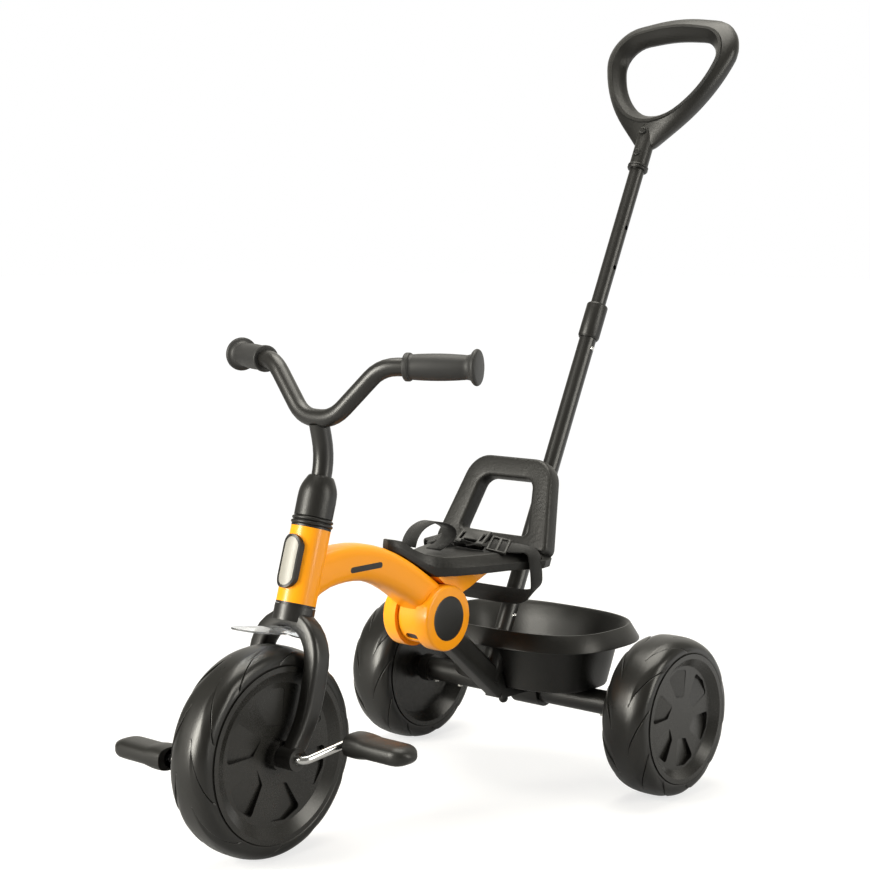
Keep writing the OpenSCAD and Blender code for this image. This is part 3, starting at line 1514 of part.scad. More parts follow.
module push_handle() {
    steps = 7;
    color(black) placed() difference() {
        union() {
            on_push_plane() padded_loop(handle_outline(handle_outer_shares, steps),
                handle_outline(handle_inner_shares, steps), handle_t, handle_power, 20);
            on_push_bar() translate([0, 0, neck_l]) {
                cylinder(d = neck_d, h = neck_top_l + neck_solid_l - neck_l);
                cylinder(d = neck_ring_d, h = neck_ring_h);
            }
        }
        on_push_bar() translate([0, 0, neck_l - over])
            cylinder(d = upper_tube_d + 2 * seat_fit, h = neck_top_l - neck_l + over + seat_fit);
        handle_screw_places() translate([0, 0, -handle_screw_sink])
            cylinder(d = handle_screw_d + 2 * seat_fit, h = handle_t, $fn = small_fn);
    }
}

// Screws on the front of the handle's neck, with Z pointing out of the front
module handle_screw_places() {
    on_push_plane() {
        translate([0, handle_screw_low_l, neck_d / 2]) children();
        translate([0, handle_screw_high_l, handle_t / 2]) children();
    }
}

module handle_screws() {
    color(steel) placed() handle_screw_places() translate([0, 0, seat_fit - handle_screw_sink])
        cylinder(d = handle_screw_d, h = handle_screw_t, $fn = small_fn);
}

main_frame();
head_bushes();
lamp_bezel();
lamp_insert();
beam_inlays();
hinge_pin();
hinge_caps();
fork();
fork_bushes();
mudguard();
mudguard_screw();
stem();
stem_collar();
handlebar();
grip_left();
grip_right();
front_tyre();
front_wheel_left();
front_wheel_right();
crank();
pedal_left();
pedal_right();
seat_bracket();
fold_button();
seat_pan();
backrest();
seat_screws();
waist_belt();
crotch_strap();
belt_buckle();
belt_sliders();
rear_leg();
axle_housing();
housing_screws();
rear_axle();
axle_clips();
rear_tyre_left();
rear_wheel_left_outer();
rear_wheel_left_inner();
rear_tyre_right();
rear_wheel_right_outer();
rear_wheel_right_inner();
tray();
tray_bolt();
tray_nut();
push_stub();
push_tube_lower();
socket_button();
telescope_collar();
telescope_button();
push_tube_upper();
push_handle();
handle_screws();
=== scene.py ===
"""Looks of a toddler's folding push-along trike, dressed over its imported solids. Lengths are in metres."""

import json
import math

import bmesh
import bpy
from mathutils import Matrix, Vector
from mathutils.geometry import intersect_line_line_2d


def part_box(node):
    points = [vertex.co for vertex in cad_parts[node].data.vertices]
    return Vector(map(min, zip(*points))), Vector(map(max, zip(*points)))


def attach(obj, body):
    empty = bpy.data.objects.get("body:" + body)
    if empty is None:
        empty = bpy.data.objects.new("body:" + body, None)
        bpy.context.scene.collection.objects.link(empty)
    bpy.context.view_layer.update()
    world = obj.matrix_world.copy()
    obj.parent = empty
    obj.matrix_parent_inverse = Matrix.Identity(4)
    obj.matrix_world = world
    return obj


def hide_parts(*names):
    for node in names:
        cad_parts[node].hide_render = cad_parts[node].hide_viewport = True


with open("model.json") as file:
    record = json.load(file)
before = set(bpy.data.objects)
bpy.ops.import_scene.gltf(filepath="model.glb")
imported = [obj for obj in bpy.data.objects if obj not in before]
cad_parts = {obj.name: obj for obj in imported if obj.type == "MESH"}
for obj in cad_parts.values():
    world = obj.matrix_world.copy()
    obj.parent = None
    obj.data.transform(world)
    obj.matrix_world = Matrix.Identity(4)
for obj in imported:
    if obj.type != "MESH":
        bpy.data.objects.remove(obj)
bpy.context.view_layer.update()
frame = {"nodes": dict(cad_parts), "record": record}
nodes = frame["nodes"]

MM = 0.001
rear_low, rear_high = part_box("rear_axle")
REAR_AXLE_Y = (rear_low.y + rear_high.y) / 2


def at(x, y, z):
    """A point given in millimetres, with y counted from the rear axle, in the shared frame."""
    return Vector((x * MM, y * MM + REAR_AXLE_Y, z * MM))


class Field:
    """A value that varies over a surface. Arithmetic on it adds Math nodes."""

    def __init__(self, finish, socket):
        self.finish = finish
        self.socket = socket

    def math(self, operation, *values):
        inputs = dict(enumerate(values))
        return self.finish.node("ShaderNodeMath", {"operation": operation}, inputs)

    def __add__(self, other):
        return self.math("ADD", self, other)

    __radd__ = __add__

    def __sub__(self, other):
        return self.math("SUBTRACT", self, other)

    def __rsub__(self, other):
        return self.math("SUBTRACT", other, self)

    def __mul__(self, other):
        return self.math("MULTIPLY", self, other)

    __rmul__ = __mul__

    def __truediv__(self, other):
        return self.math("DIVIDE", self, other)

    def __abs__(self):
        return self.math("ABSOLUTE", self)

    def __gt__(self, other):
        return self.math("GREATER_THAN", self, other)

    def sine(self):
        return self.math("SINE", self)

    def wave(self):
        """A sine wave of this many turns, from 0 to 1."""
        return 0.5 + 0.5 * (self * math.tau).sine()

    def span(self, low, high):
        """0 below low, 1 above high and smooth between."""
        settings = {"interpolation_type": "SMOOTHSTEP"}
        inputs = {"Value": self, "From Min": low, "From Max": high}
        return self.finish.node("ShaderNodeMapRange", settings, inputs)


class Finish:
    """A node material around one Principled shader."""

    def __init__(self, name, **constants):
        self.material = bpy.data.materials.new(name)
        self.material.use_nodes = True
        self.tree = self.material.node_tree
        self.shader = self.tree.nodes["Principled BSDF"]
        for socket, value in constants.items():
            self.feed(socket.replace("_", " "), value)

    def node(self, kind, settings=None, inputs=None, output=0):
        made = self.tree.nodes.new(kind)
        for key, value in (settings or {}).items():
            setattr(made, key, value)
        for key, value in (inputs or {}).items():
            self.join(made.inputs[key], value)
        return Field(self, made.outputs[output])

    def join(self, socket, value):
        if isinstance(value, Field):
            self.tree.links.new(value.socket, socket)
        else:
            socket.default_value = value

    def feed(self, socket, value):
        self.join(self.shader.inputs[socket], value)

    def place(self):
        return self.node("ShaderNodeTexCoord", output="Object")

    def ribbon_place(self):
        """Metres along and across a strap."""
        point = self.node("ShaderNodeUVMap", {"uv_map": "strap"})
        return self.part(point, "X"), self.part(point, "Y")

    def part(self, vector, axis):
        return self.node("ShaderNodeSeparateXYZ", inputs={0: vector}, output=axis)

    def reach(self, vector, direction):
        """How far a vector goes along a direction."""
        inputs = {0: vector, 1: direction}
        return self.node("ShaderNodeVectorMath", {"operation": "DOT_PRODUCT"}, inputs, output="Value")

    def rays(self, kind):
        """1 for rays of one kind and 0 for all others."""
        return self.node("ShaderNodeLightPath", output=f"Is {kind} Ray")

    def noise(self, size, detail=2.0, roughness=0.5, stretch=None):
        """Soft noise with features of this size in metres."""
        point = self.place()
        if stretch:
            point = self.node("ShaderNodeMapping", inputs={"Vector": point, "Scale": stretch})
        inputs = {"Vector": point, "Scale": 1 / size, "Detail": detail, "Roughness": roughness}
        return self.node("ShaderNodeTexNoise", inputs=inputs)

    def cells(self, size):
        inputs = {"Vector": self.place(), "Scale": 1 / size}
        return self.node("ShaderNodeTexVoronoi", inputs=inputs)

    def mix(self, factor, first, second):
        first = (*first, 1) if isinstance(first, tuple) else first
        second = (*second, 1) if isinstance(second, tuple) else second
        inputs = {0: factor, 6: first, 7: second}
        return self.node("ShaderNodeMix", {"data_type": "RGBA"}, inputs, output=2)

    def bump(self, height, depth):
        """Relief of this depth in metres where height goes from 0 to 1."""
        inputs = {"Height": height, "Distance": depth, "Strength": 1.0}
        self.feed("Normal", self.node("ShaderNodeBump", inputs=inputs))


class Surround(Finish):
    """A node world around its Background shader."""

    def __init__(self, name):
        self.material = bpy.data.worlds.new(name)
        self.material.use_nodes = True
        self.tree = self.material.node_tree
        self.shader = self.tree.nodes["Background"]


def scaled(colour, factor):
    return tuple(c * factor for c in colour)


def orange_paint():
    """Glossy lacquer with a faint orange-peel skin."""
    paint = Finish("orange_paint", Coat_Weight=0.22, Coat_Roughness=0.1, Specular_IOR_Level=0.3)
    base = (0.95, 0.342, 0.004)
    drift = paint.noise(0.05, 3)
    peel = paint.noise(0.0022, 2)
    paint.feed("Base Color", paint.mix(drift, scaled(base, 0.94), scaled(base, 1.05)))
    paint.feed("Roughness", 0.36 + 0.1 * (drift - 0.5) + 0.06 * (peel - 0.5))
    paint.bump(peel, 0.05 * MM)
    return paint.material


def powder_coat():
    """Satin black powder coat on steel tube."""
    paint = Finish("powder_coat", Specular_IOR_Level=0.5)
    base = (0.009, 0.0086, 0.0078)
    drift = paint.noise(0.06, 3)
    grain = paint.noise(0.0009, 2)
    paint.feed("Base Color", paint.mix(drift, scaled(base, 0.8), scaled(base, 1.25)))
    paint.feed("Roughness", 0.36 + 0.08 * (drift - 0.5) + 0.05 * (grain - 0.5))
    paint.bump(grain, 0.006 * MM)
    return paint.material


def moulded_plastic(name, base, roughness, grain_size, grain_depth):
    """Black moulding with a fine eroded grain, slow patches of shine, and painted shade that darkens its
    recesses.
    """
    paint = Finish(name, Specular_IOR_Level=0.4)
    drift = paint.noise(0.04, 3)
    grain = paint.noise(grain_size, 3, 0.6)
    pits = paint.cells(grain_size * 1.7)
    relief = 0.6 * grain + 0.4 * pits
    # Painted shade: ambient occlusion darkens the base colour towards a quarter in recesses and where parts
    # crowd together
    painted_shade_reach = {"Distance": 14 * MM}
    painted_shade_ao = paint.node("ShaderNodeAmbientOcclusion", {"samples": 6}, painted_shade_reach, output="AO")
    face = paint.mix(drift, scaled(base, 0.8), scaled(base, 1.25))
    paint.feed("Base Color", paint.mix(painted_shade_ao.span(0.45, 0.95), scaled(base, 0.25), face))
    paint.feed("Roughness", roughness + 0.12 * (drift - 0.5) + 0.14 * (grain - 0.5))
    paint.bump(relief, grain_depth)
    return paint.material


def foam_tyre():
    """Closed-cell foam skin: dull, a little shiny where it was moulded tight."""
    paint = Finish("foam_tyre", Specular_IOR_Level=0.42)
    base = (0.009, 0.0087, 0.0078)
    drift = paint.noise(0.035, 4)
    skin = paint.noise(0.0016, 3, 0.6)
    specks = (paint.cells(0.011) > 0.92) * paint.noise(0.004)
    wear = drift * 0.8 + specks * 0.6
    paint.feed("Base Color", paint.mix(wear, scaled(base, 0.85), scaled(base, 1.35)))
    paint.feed("Roughness", 0.31 + 0.12 * (drift - 0.5) + 0.1 * (skin - 0.5))
    paint.bump(skin, 0.05 * MM)
    return paint.material


def soft_grip():
    paint = Finish("soft_grip", Specular_IOR_Level=0.35)
    base = (0.021, 0.021, 0.021)
    drift = paint.noise(0.03, 3)
    pores = paint.cells(0.0013)
    paint.feed("Base Color", paint.mix(drift, scaled(base, 0.85), scaled(base, 1.2)))
    paint.feed("Roughness", 0.56 + 0.1 * (drift - 0.5) - 0.08 * pores)
    paint.bump(pores, 0.06 * MM)
    return paint.material


def clear_plastic():
    """Clear moulded sheet with faint ripples."""
    paint = Finish("clear_plastic", Transmission_Weight=0.96, IOR=1.25, Specular_IOR_Level=0.5)
    ripple = paint.noise(0.03, 2)
    paint.feed("Base Color", paint.mix(ripple, (0.93, 0.95, 0.97), (0.98, 0.99, 1.0)))
    paint.feed("Roughness", 0.05 + 0.05 * ripple)
    paint.bump(ripple, 0.2 * MM)
    return paint.material


def lamp_silver():
    """Silver lamp insert with fine upright reeds."""
    paint = Finish("lamp_silver", Specular_IOR_Level=0.5, Coat_Weight=0.15, Coat_Roughness=0.25)
    sheen = paint.noise(0.03, 2, stretch=(3.0, 3.0, 0.5))
    across = paint.part(paint.place(), "X")
    reeds = (across / (1.6 * MM)).wave()
    paint.feed("Base Color", paint.mix(sheen, (0.26, 0.25, 0.22), (0.33, 0.32, 0.29)))
    paint.feed("Metallic", 0.04 + 0.08 * sheen)
    paint.feed("Roughness", 0.44 + 0.1 * reeds)
    paint.bump(reeds, 0.05 * MM)
    return paint.material


def chrome_plate():
    paint = Finish("chrome_plate", Specular_IOR_Level=0.5)
    drift = paint.noise(0.02, 3)
    scratches = paint.noise(0.0012, 2, stretch=(1.0, 0.15, 0.15))
    paint.feed("Base Color", paint.mix(drift, (0.5, 0.5, 0.49), (0.6, 0.6, 0.6)))
    paint.feed("Metallic", 0.94 + 0.06 * drift)
    paint.feed("Roughness", 0.2 + 0.08 * scratches.span(0.55, 0.8))
    paint.bump(drift, 0.02 * MM)
    return paint.material


def zinc_steel():
    paint = Finish("zinc_steel", Specular_IOR_Level=0.5)
    spangle = paint.cells(0.0035)
    tint = paint.noise(0.006, 3)
    paint.feed("Base Color", paint.mix(tint, (0.42, 0.43, 0.44), (0.62, 0.6, 0.54)))
    paint.feed("Metallic", 0.88 + 0.1 * spangle)
    paint.feed("Roughness", 0.3 + 0.16 * tint)
    paint.bump(spangle, 0.02 * MM)
    return paint.material


def woven_webbing():
    """Herringbone polyester webbing with bound edges."""
    paint = Finish("woven_webbing", Specular_IOR_Level=0.25, Sheen_Weight=0.12, Sheen_Roughness=0.5)
    along, across = paint.ribbon_place()
    pitch = 1.5 * MM
    yarns = (along / pitch + abs(across) / pitch).wave()
    ridges = (across / (1.1 * MM)).wave()
    fuzz = paint.noise(0.0007, 3)
    relief = 0.55 * yarns + 0.25 * ridges + 0.2 * fuzz
    paint.feed("Base Color", paint.mix(relief, (0.004, 0.004, 0.004), (0.015, 0.0148, 0.0142)))
    paint.feed("Roughness", 0.66 + 0.16 * fuzz)
    paint.bump(relief, 0.32 * MM)
    return paint.material


FINISHES = {
    "orange_paint": orange_paint(),
    "black_paint": powder_coat(),
    "black_plastic": moulded_plastic(
        "black_plastic", (0.0095, 0.0092, 0.0082), roughness=0.4, grain_size=0.0015, grain_depth=0.14 * MM
    ),
    "wheel_plastic": moulded_plastic(
        "wheel_plastic", (0.018, 0.0175, 0.016), roughness=0.26, grain_size=0.0009, grain_depth=0.014 * MM
    ),
    "foam_tyre": foam_tyre(),
    "grip_foam": soft_grip(),
    "clear_plastic": clear_plastic(),
    "lamp_silver": lamp_silver(),
    "chrome": chrome_plate(),
    "zinc_steel": zinc_steel(),
    "webbing": woven_webbing(),
}


def even_shading():
    """Modifier tree that joins a solid's faces and shades them smooth up to its real edges."""
    sharp_from = math.radians(28)
    join_within = 0.002 * MM
    tree = bpy.data.node_groups.new("even_shading", "GeometryNodeTree")
    tree.interface.new_socket("Geometry", in_out="INPUT", socket_type="NodeSocketGeometry")
    tree.interface.new_socket("Geometry", in_out="OUTPUT", socket_type="NodeSocketGeometry")
    start = tree.nodes.new("NodeGroupInput")
    bare = tree.nodes.new("GeometryNodeRemoveAttribute")
    bare.inputs["Name"].default_value = "custom_normal"
    joined = tree.nodes.new("GeometryNodeMergeByDistance")
    joined.inputs["Distance"].default_value = join_within
    faces = tree.nodes.new("GeometryNodeSetShadeSmooth")
    angle = tree.nodes.new("GeometryNodeInputMeshEdgeAngle")
    sharp = tree.nodes.new("FunctionNodeCompare")
    sharp.operation = "GREATER_THAN"
    sharp.inputs["B"].default_value = sharp_from
    edges = tree.nodes.new("GeometryNodeSetShadeSmooth")
    edges.domain = "EDGE"
    edges.inputs["Shade Smooth"].default_value = False
    end = tree.nodes.new("NodeGroupOutput")
    link = tree.links.new
    link(start.outputs[0], bare.inputs["Geometry"])
    link(bare.outputs[0], joined.inputs["Geometry"])
    link(joined.outputs[0], faces.inputs[0])
    link(faces.outputs[0], edges.inputs[0])
    link(angle.outputs["Unsigned Angle"], sharp.inputs["A"])
    link(sharp.outputs[0], edges.inputs["Selection"])
    link(edges.outputs[0], end.inputs[0])
    return tree


EVEN_SHADING = even_shading()
SEAT_GRAIN = moulded_plastic(
    "grained_plastic", (0.0105, 0.0102, 0.0092), roughness=0.46, grain_size=0.0028, grain_depth=0.4 * MM
)
GRAINED = ("seat_pan", "backrest")
for part in frame["record"]["subparts"]:
    solid = nodes[part["node"]]
    solid.data.materials.clear()
    finish = SEAT_GRAIN if part["node"] in GRAINED else FINISHES[part["material_slot"]]
    solid.data.materials.append(finish)
    solid.modifiers.new("even_shading", "NODES").node_group = EVEN_SHADING


def dressed(name, mesh, slot, body):
    """An object for a mesh, which rides on a body and takes the finish of a material slot."""
    piece = bpy.data.objects.new(name, mesh)
    bpy.context.scene.collection.objects.link(piece)
    mesh.materials.append(FINISHES[slot])
    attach(piece, body)
    return piece


def smooth_faces(mesh):
    mesh.polygons.foreach_set("use_smooth", [True] * len(mesh.polygons))


def new_piece(name, points, faces, slot, body):
    """A smooth piece from points and faces, with its faces turned outwards."""
    mesh = bpy.data.meshes.new(name)
    mesh.from_pydata([tuple(p) for p in points], [], faces)
    mesh.validate()
    work = bmesh.new()
    work.from_mesh(mesh)
    bmesh.ops.recalc_face_normals(work, faces=work.faces)
    work.to_mesh(mesh)
    work.free()
    smooth_faces(mesh)
    return dressed(name, mesh, slot, body)


def grid_faces(rows, columns, close_rows=False, close_columns=False):
    """Quads over a grid of points that runs row by row."""
    return [
        (
            i * columns + j,
            i * columns + (j + 1) % columns,
            (i + 1) % rows * columns + (j + 1) % columns,
            (i + 1) % rows * columns + j,
        )
        for i in range(rows if close_rows else rows - 1)
        for j in range(columns if close_columns else columns - 1)
    ]


def end_caps(count, columns):
    """Faces over the first and the last row of a grid of points."""
    return [tuple(reversed(range(columns))), tuple(range(count - columns, count))]


def soft_curve(points, steps):
    """Points of a smooth curve through the given ones."""
    points = [Vector(p) for p in points]
    padded = [2 * points[0] - points[1], *points, 2 * points[-1] - points[-2]]
    curve = []
    for a, b, c, d in zip(padded, padded[1:], padded[2:], padded[3:]):
        for k in range(steps):
            t = k / steps
            slope = (c - a) * t
            bend = (2 * a - 5 * b + 4 * c - d) * t * t
            twist = (3 * b - a - 3 * c + d) * t**3
            curve.append(0.5 * (2 * b + slope + bend + twist))
    return [*curve, points[-1]]


def smooth_step(value, low, high):
    t = min(1.0, max(0.0, (value - low) / (high - low)))
    return t * t * (3 - 2 * t)


def squared(value, power):
    """Turns the sine or cosine of an angle into that of a rounded box. A power of 2 leaves a circle."""
    return math.copysign(abs(value) ** (2 / power), value)


# Tyres: foam rings with swept grooves that run from the tread down each sidewall
GROOVES = 10
GROOVE_SWEEP = math.radians(36)
SWEEP_EASE = 0.62
# Reach counts from 0 at the middle of the tread to 1 at the rim
GROOVE_START = 0.16
GROOVE_FADE = 0.1
GROOVE_END = 0.93
GROOVE_DEPTH = 2.4 * MM
GROOVE_HALF = 0.9 * MM
# Power that crowds the points of a pitch towards its groove
GROOVE_CROWD = 1.7
LOBE_DEPTH = 1.3 * MM
LOBE_SHARE = 0.45
PITCH_STEPS = 48
PROFILE_STEPS = 52
# Half the share of the tread over which the grooves change sides, and the stagger of the sides in pitches
TREAD_MIDDLE = 0.34
SIDE_STAGGER = 0.5
SIDE_SINK = 0.75
SIDE_POWER = 1.5
TYRE_POWER = 2.6
TYRE_SIDE_H = 3 * MM
RIM_LIP = 8 * MM
FOOT_INSET = 4.1 * MM
FRONT_RIM_D = 200 * MM
REAR_RIM_D = 162 * MM


def groove_run(reach):
    """Share of a groove's full depth."""
    begun = smooth_step(reach, GROOVE_START, GROOVE_START + GROOVE_FADE)
    return begun * (1 - smooth_step(reach, GROOVE_END, 1))


def groove_turn(reach):
    """Angle round the wheel that a groove has swept."""
    return max(0.0, (reach - GROOVE_START) / (1 - GROOVE_START)) ** SWEEP_EASE * GROOVE_SWEEP


def tyre(node, slot, body, rim_d, way):
    """Foam tyre round a rim. way is 1 or -1 for grooves that sweep forwards or back down the sidewall."""
    low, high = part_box(node)
    middle = (low + high) / 2
    half_w = (high.x - low.x) / 2
    wheel_r = (high.z - low.z) / 2
    rim_r = rim_d / 2
    side_r = rim_r + TYRE_SIDE_H
    foot = half_w - FOOT_INSET
    around = GROOVES * PITCH_STEPS
    profile = []
    for k in range(PROFILE_STEPS + 1):
        turn = math.pi * k / PROFILE_STEPS
        c = math.cos(turn)
        s = math.sin(turn)
        x = -squared(c, TYRE_POWER) * half_w
        r = side_r + (wheel_r - side_r) * squared(s, TYRE_POWER)
        profile.append((x, r, c, s))
    ends = [(-half_w, rim_r), (-foot, rim_r), (-foot, rim_r - RIM_LIP)]
    columns = len(profile) + 2 * len(ends)
    points = []
    for i in range(around):
        ring = []
        pitch, step = divmod(i, PITCH_STEPS)
        off = 2 * step / PITCH_STEPS - 1
        crowded = math.copysign(abs(off) ** GROOVE_CROWD, off) / 2
        lobe = LOBE_DEPTH * (1 - smooth_step((way * crowded) % 1.0, 0.0, LOBE_SHARE))
        for x, r, c, s in profile:
            reach = abs(1 - 2 * math.acos(max(-1, min(1, c))) / math.pi)
            stagger = SIDE_STAGGER * smooth_step(x / half_w, -TREAD_MIDDLE, TREAD_MIDDLE)
            gap = abs(crowded) * math.tau / GROOVES * r
            groove = math.exp(-((gap / GROOVE_HALF) ** 2)) * GROOVE_DEPTH
            sink = groove_run(reach) * (groove + lobe)
            turn = (pitch + crowded + stagger) / GROOVES * math.tau + way * groove_turn(reach)
            inwards = SIDE_SINK * math.copysign(abs(c) ** SIDE_POWER, -c)
            ring.append((x - sink * inwards, r - sink * s, turn))
        left = [(x, r, ring[0][2]) for x, r in reversed(ends)]
        right = [(-x, r, ring[-1][2]) for x, r in ends]
        for x, r, turn in [*left, *ring, *right]:
            points.append(middle + Vector((x, r * math.cos(turn), r * math.sin(turn))))
    piece = new_piece(node + "_foam", points, grid_faces(around, columns, True, True), slot, body)
    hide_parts(node)


tyre("front_tyre", "foam_tyre", "front_wheel", FRONT_RIM_D, 1)
tyre("rear_tyre_left", "foam_tyre", "rear_wheel_left", REAR_RIM_D, -1)
tyre("rear_tyre_right", "foam_tyre", "rear_wheel_right", REAR_RIM_D, -1)

# Harness: webbing swept along its route with a flat rounded section
STRAP_W = 24 * MM
STRAP_T = 1.8 * MM


def strap(name, route, sides, body, steps=8):
    """Webbing along a route. sides gives the direction across the webbing at each point of the route."""
    line = soft_curve(route, steps)
    across = soft_curve(sides, steps)
    edge = STRAP_T / 2
    half = STRAP_W / 2
    section = [(-half, 0), (-half + edge, -edge), (0, -edge), (half - edge, -edge), (half, 0)]
    section += [(half - edge, edge), (0, edge), (-half + edge, edge)]
    points = []
    marks = []
    travelled = 0.0
    for k, spot in enumerate(line):
        ahead = (line[min(k + 1, len(line) - 1)] - line[max(k - 1, 0)]).normalized()
        side = (across[k] - ahead * across[k].dot(ahead)).normalized()
        up = ahead.cross(side)
        if k:
            travelled += (spot - line[k - 1]).length
        for s, h in section:
            points.append(spot + side * s + up * h)
            marks.append((travelled, s))
    count = len(section)
    faces = grid_faces(len(line), count, close_columns=True)
    faces += end_caps(len(points), count)
    piece = new_piece(name, points, faces, "webbing", body)
    layer = piece.data.uv_layers.new(name="strap")
    for corner in piece.data.loops:
        layer.data[corner.index].uv = marks[corner.vertex_index]
    return piece


def mirrored(half):
    """The other half of a row of points or directions, from the middle on."""
    return [(-x, y, z) for x, y, z in reversed(half[:-1])]


# Half of the belt, from the buckle over the seat's rear corner to the middle of the loop under the seat
belt_route = [
    (-12, -146, 313), (-28, -140, 317), (-48, -131, 312.5), (-66, -120, 310.5), (-78, -112, 308.5),
    (-85, -108, 302), (-87, -107, 290), (-88, -106, 276), (-86, -104, 263), (-77, -101, 252),
    (-58, -96, 245), (-32, -90, 242), (0, -86, 241),
]
belt_sides = [
    (0.3, 1, 0.1), (0.4, 0.88, 0.2), (0.3, 0.88, 0.4), (0.3, 0.9, 0.3), (0.2, 1, 0.1),
    (0, 1, 0), (0, 1, 0), (0, 1, 0.1), (0, 0.95, 0.3), (0, 0.85, 0.55),
    (0, 0.75, 0.65), (0, 0.7, 0.7), (0, 0.7, 0.7),
]
whole_route = [at(*p) for p in belt_route + mirrored(belt_route)]
waist = strap("waist_webbing", whole_route, belt_sides + mirrored(belt_sides), "rear")
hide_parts("waist_belt")

# The crotch strap rises from the seat's horn and curls under itself
crotch_route = [
    (0, -246, 321), (0, -241, 332), (0, -229, 342), (0, -209, 347), (0, -187, 343),
    (0, -172, 335), (0, -171, 325), (0, -184, 317), (0, -200, 312),
]
crotch_sides = [(1, 0, 0)] * len(crotch_route)
crotch = strap("crotch_webbing", [at(*p) for p in crotch_route], crotch_sides, "rear")
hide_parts("crotch_strap")

# Moulded fittings: angles at which flat faces are joined, edges are rounded and shading breaks
FLAT_WITHIN = math.radians(1)
ROUND_FROM = math.radians(30)
PLATE_SHARP = math.radians(40)


def barred_plate(name, xs, ys, open_cells, thickness, round_off, place, slot, body):
    """A moulded plate over a grid of cells, some of them open, with rounded edges.
    place sets it in the shared frame."""
    work = bmesh.new()
    corners = [[work.verts.new((x, y, -thickness / 2)) for x in xs] for y in ys]
    faces = []
    for i, (near, far) in enumerate(zip(corners, corners[1:])):
        for j in range(len(xs) - 1):
            if (i, j) not in open_cells:
                faces.append(work.faces.new((near[j], near[j + 1], far[j + 1], far[j])))
    raised = bmesh.ops.extrude_face_region(work, geom=faces, use_keep_orig=True)["geom"]
    lifted = [v for v in raised if isinstance(v, bmesh.types.BMVert)]
    bmesh.ops.translate(work, verts=lifted, vec=(0, 0, thickness))
    loose = [v for v in work.verts if not v.link_faces]
    bmesh.ops.delete(work, geom=loose, context="VERTS")
    bmesh.ops.recalc_face_normals(work, faces=work.faces)
    bmesh.ops.dissolve_limit(work, angle_limit=FLAT_WITHIN, verts=work.verts, edges=work.edges)
    rims = [e for e in work.edges if len(e.link_faces) == 2 and e.calc_face_angle() > ROUND_FROM]
    bmesh.ops.bevel(work, geom=rims, offset=round_off, segments=3, affect="EDGES", profile=0.5)
    bmesh.ops.transform(work, matrix=place, verts=work.verts)
    mesh = bpy.data.meshes.new(name)
    work.to_mesh(mesh)
    work.free()
    smooth_faces(mesh)
    mesh.set_sharp_from_angle(angle=PLATE_SHARP)
    return dressed(name, mesh, slot, body)


def laid(spot, across, along):
    """Place of a fitting on webbing that runs along one direction and is as wide as the other."""
    along = Vector(along).normalized()
    across = Vector(across)
    across = (across - along * across.dot(along)).normalized()
    facing = Matrix((across, along, across.cross(along))).transposed().to_4x4()
    return Matrix.Translation(spot) @ facing


# Three-bar sliders on the waist belt
SLOT_HALF = 12.6 * MM
SLIDER_EDGE = 3 * MM
SLIDER_T = 3.6 * MM
SLIDER_ROUND = 1.1 * MM
SLIDER_ROWS = [v * MM for v in (-13, -9.5, -2, 2, 9.5, 13)]
SLIDER_COLUMNS = [-SLOT_HALF - SLIDER_EDGE, -SLOT_HALF, SLOT_HALF, SLOT_HALF + SLIDER_EDGE]
SLIDER_OPEN = {(1, 1), (3, 1)}
for side, name in ((-1, "slider_right"), (1, "slider_left")):
    place = laid(at(side * 48, -131, 313.5), (-0.3 * side, 0.88, 0.4), (0.87 * side, 0.45, -0.2))
    slider = barred_plate(name, SLIDER_COLUMNS, SLIDER_ROWS, SLIDER_OPEN, SLIDER_T, SLIDER_ROUND, place,
                          "black_plastic", "rear")
    if side > 0:
        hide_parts("belt_sliders")

# Buckle that joins the waist belt to the crotch strap
BUCKLE_T = 8.5 * MM
BUCKLE_ROUND = 1.8 * MM
BUCKLE_COLUMNS = [v * MM for v in (-21, -16, -13, -9, 9, 13, 16, 21)]
BUCKLE_ROWS = [v * MM for v in (-15, -12, -6, 6, 12, 15)]
BUCKLE_OPEN = {(2, 1), (2, 5), (1, 3)}
place = laid(at(13, -139, 319), (1, 0.1, -0.1), (-0.1, 0.85, 0.5))
buckle = barred_plate("harness_buckle", BUCKLE_COLUMNS, BUCKLE_ROWS, BUCKLE_OPEN, BUCKLE_T, BUCKLE_ROUND,
                      place, "black_plastic", "rear")
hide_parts("belt_buckle")

# Angle at which the shading of a round piece breaks
TURNED_SHARP = math.radians(35)


def turned(name, profile, foot, axis, slot, body, around=96, ring=True):
    """A round piece. profile gives radius and height along the axis, both in millimetres, from the foot.
    A ring's profile goes round its section, and any other piece is capped at both ends."""
    axis = Vector(axis).normalized()
    right = axis.orthogonal().normalized()
    front = axis.cross(right)
    points = []
    for radius, height in profile:
        for k in range(around):
            turn = math.tau * k / around
            out = right * math.cos(turn) + front * math.sin(turn)
            points.append(foot + (out * radius + axis * height) * MM)
    faces = grid_faces(len(profile), around, ring, True)
    if not ring:
        faces += end_caps(len(points), around)
    piece = new_piece(name, points, faces, slot, body)
    piece.data.set_sharp_from_angle(angle=TURNED_SHARP)
    return piece


def arc(centre, radius, start, end, steps=8):
    """Points of an arc in a profile, with its angles in degrees from the radius outwards."""
    turns = [math.radians(start + (end - start) * k / steps) for k in range(steps + 1)]
    return [(centre[0] + radius * math.cos(t), centre[1] + radius * math.sin(t)) for t in turns]


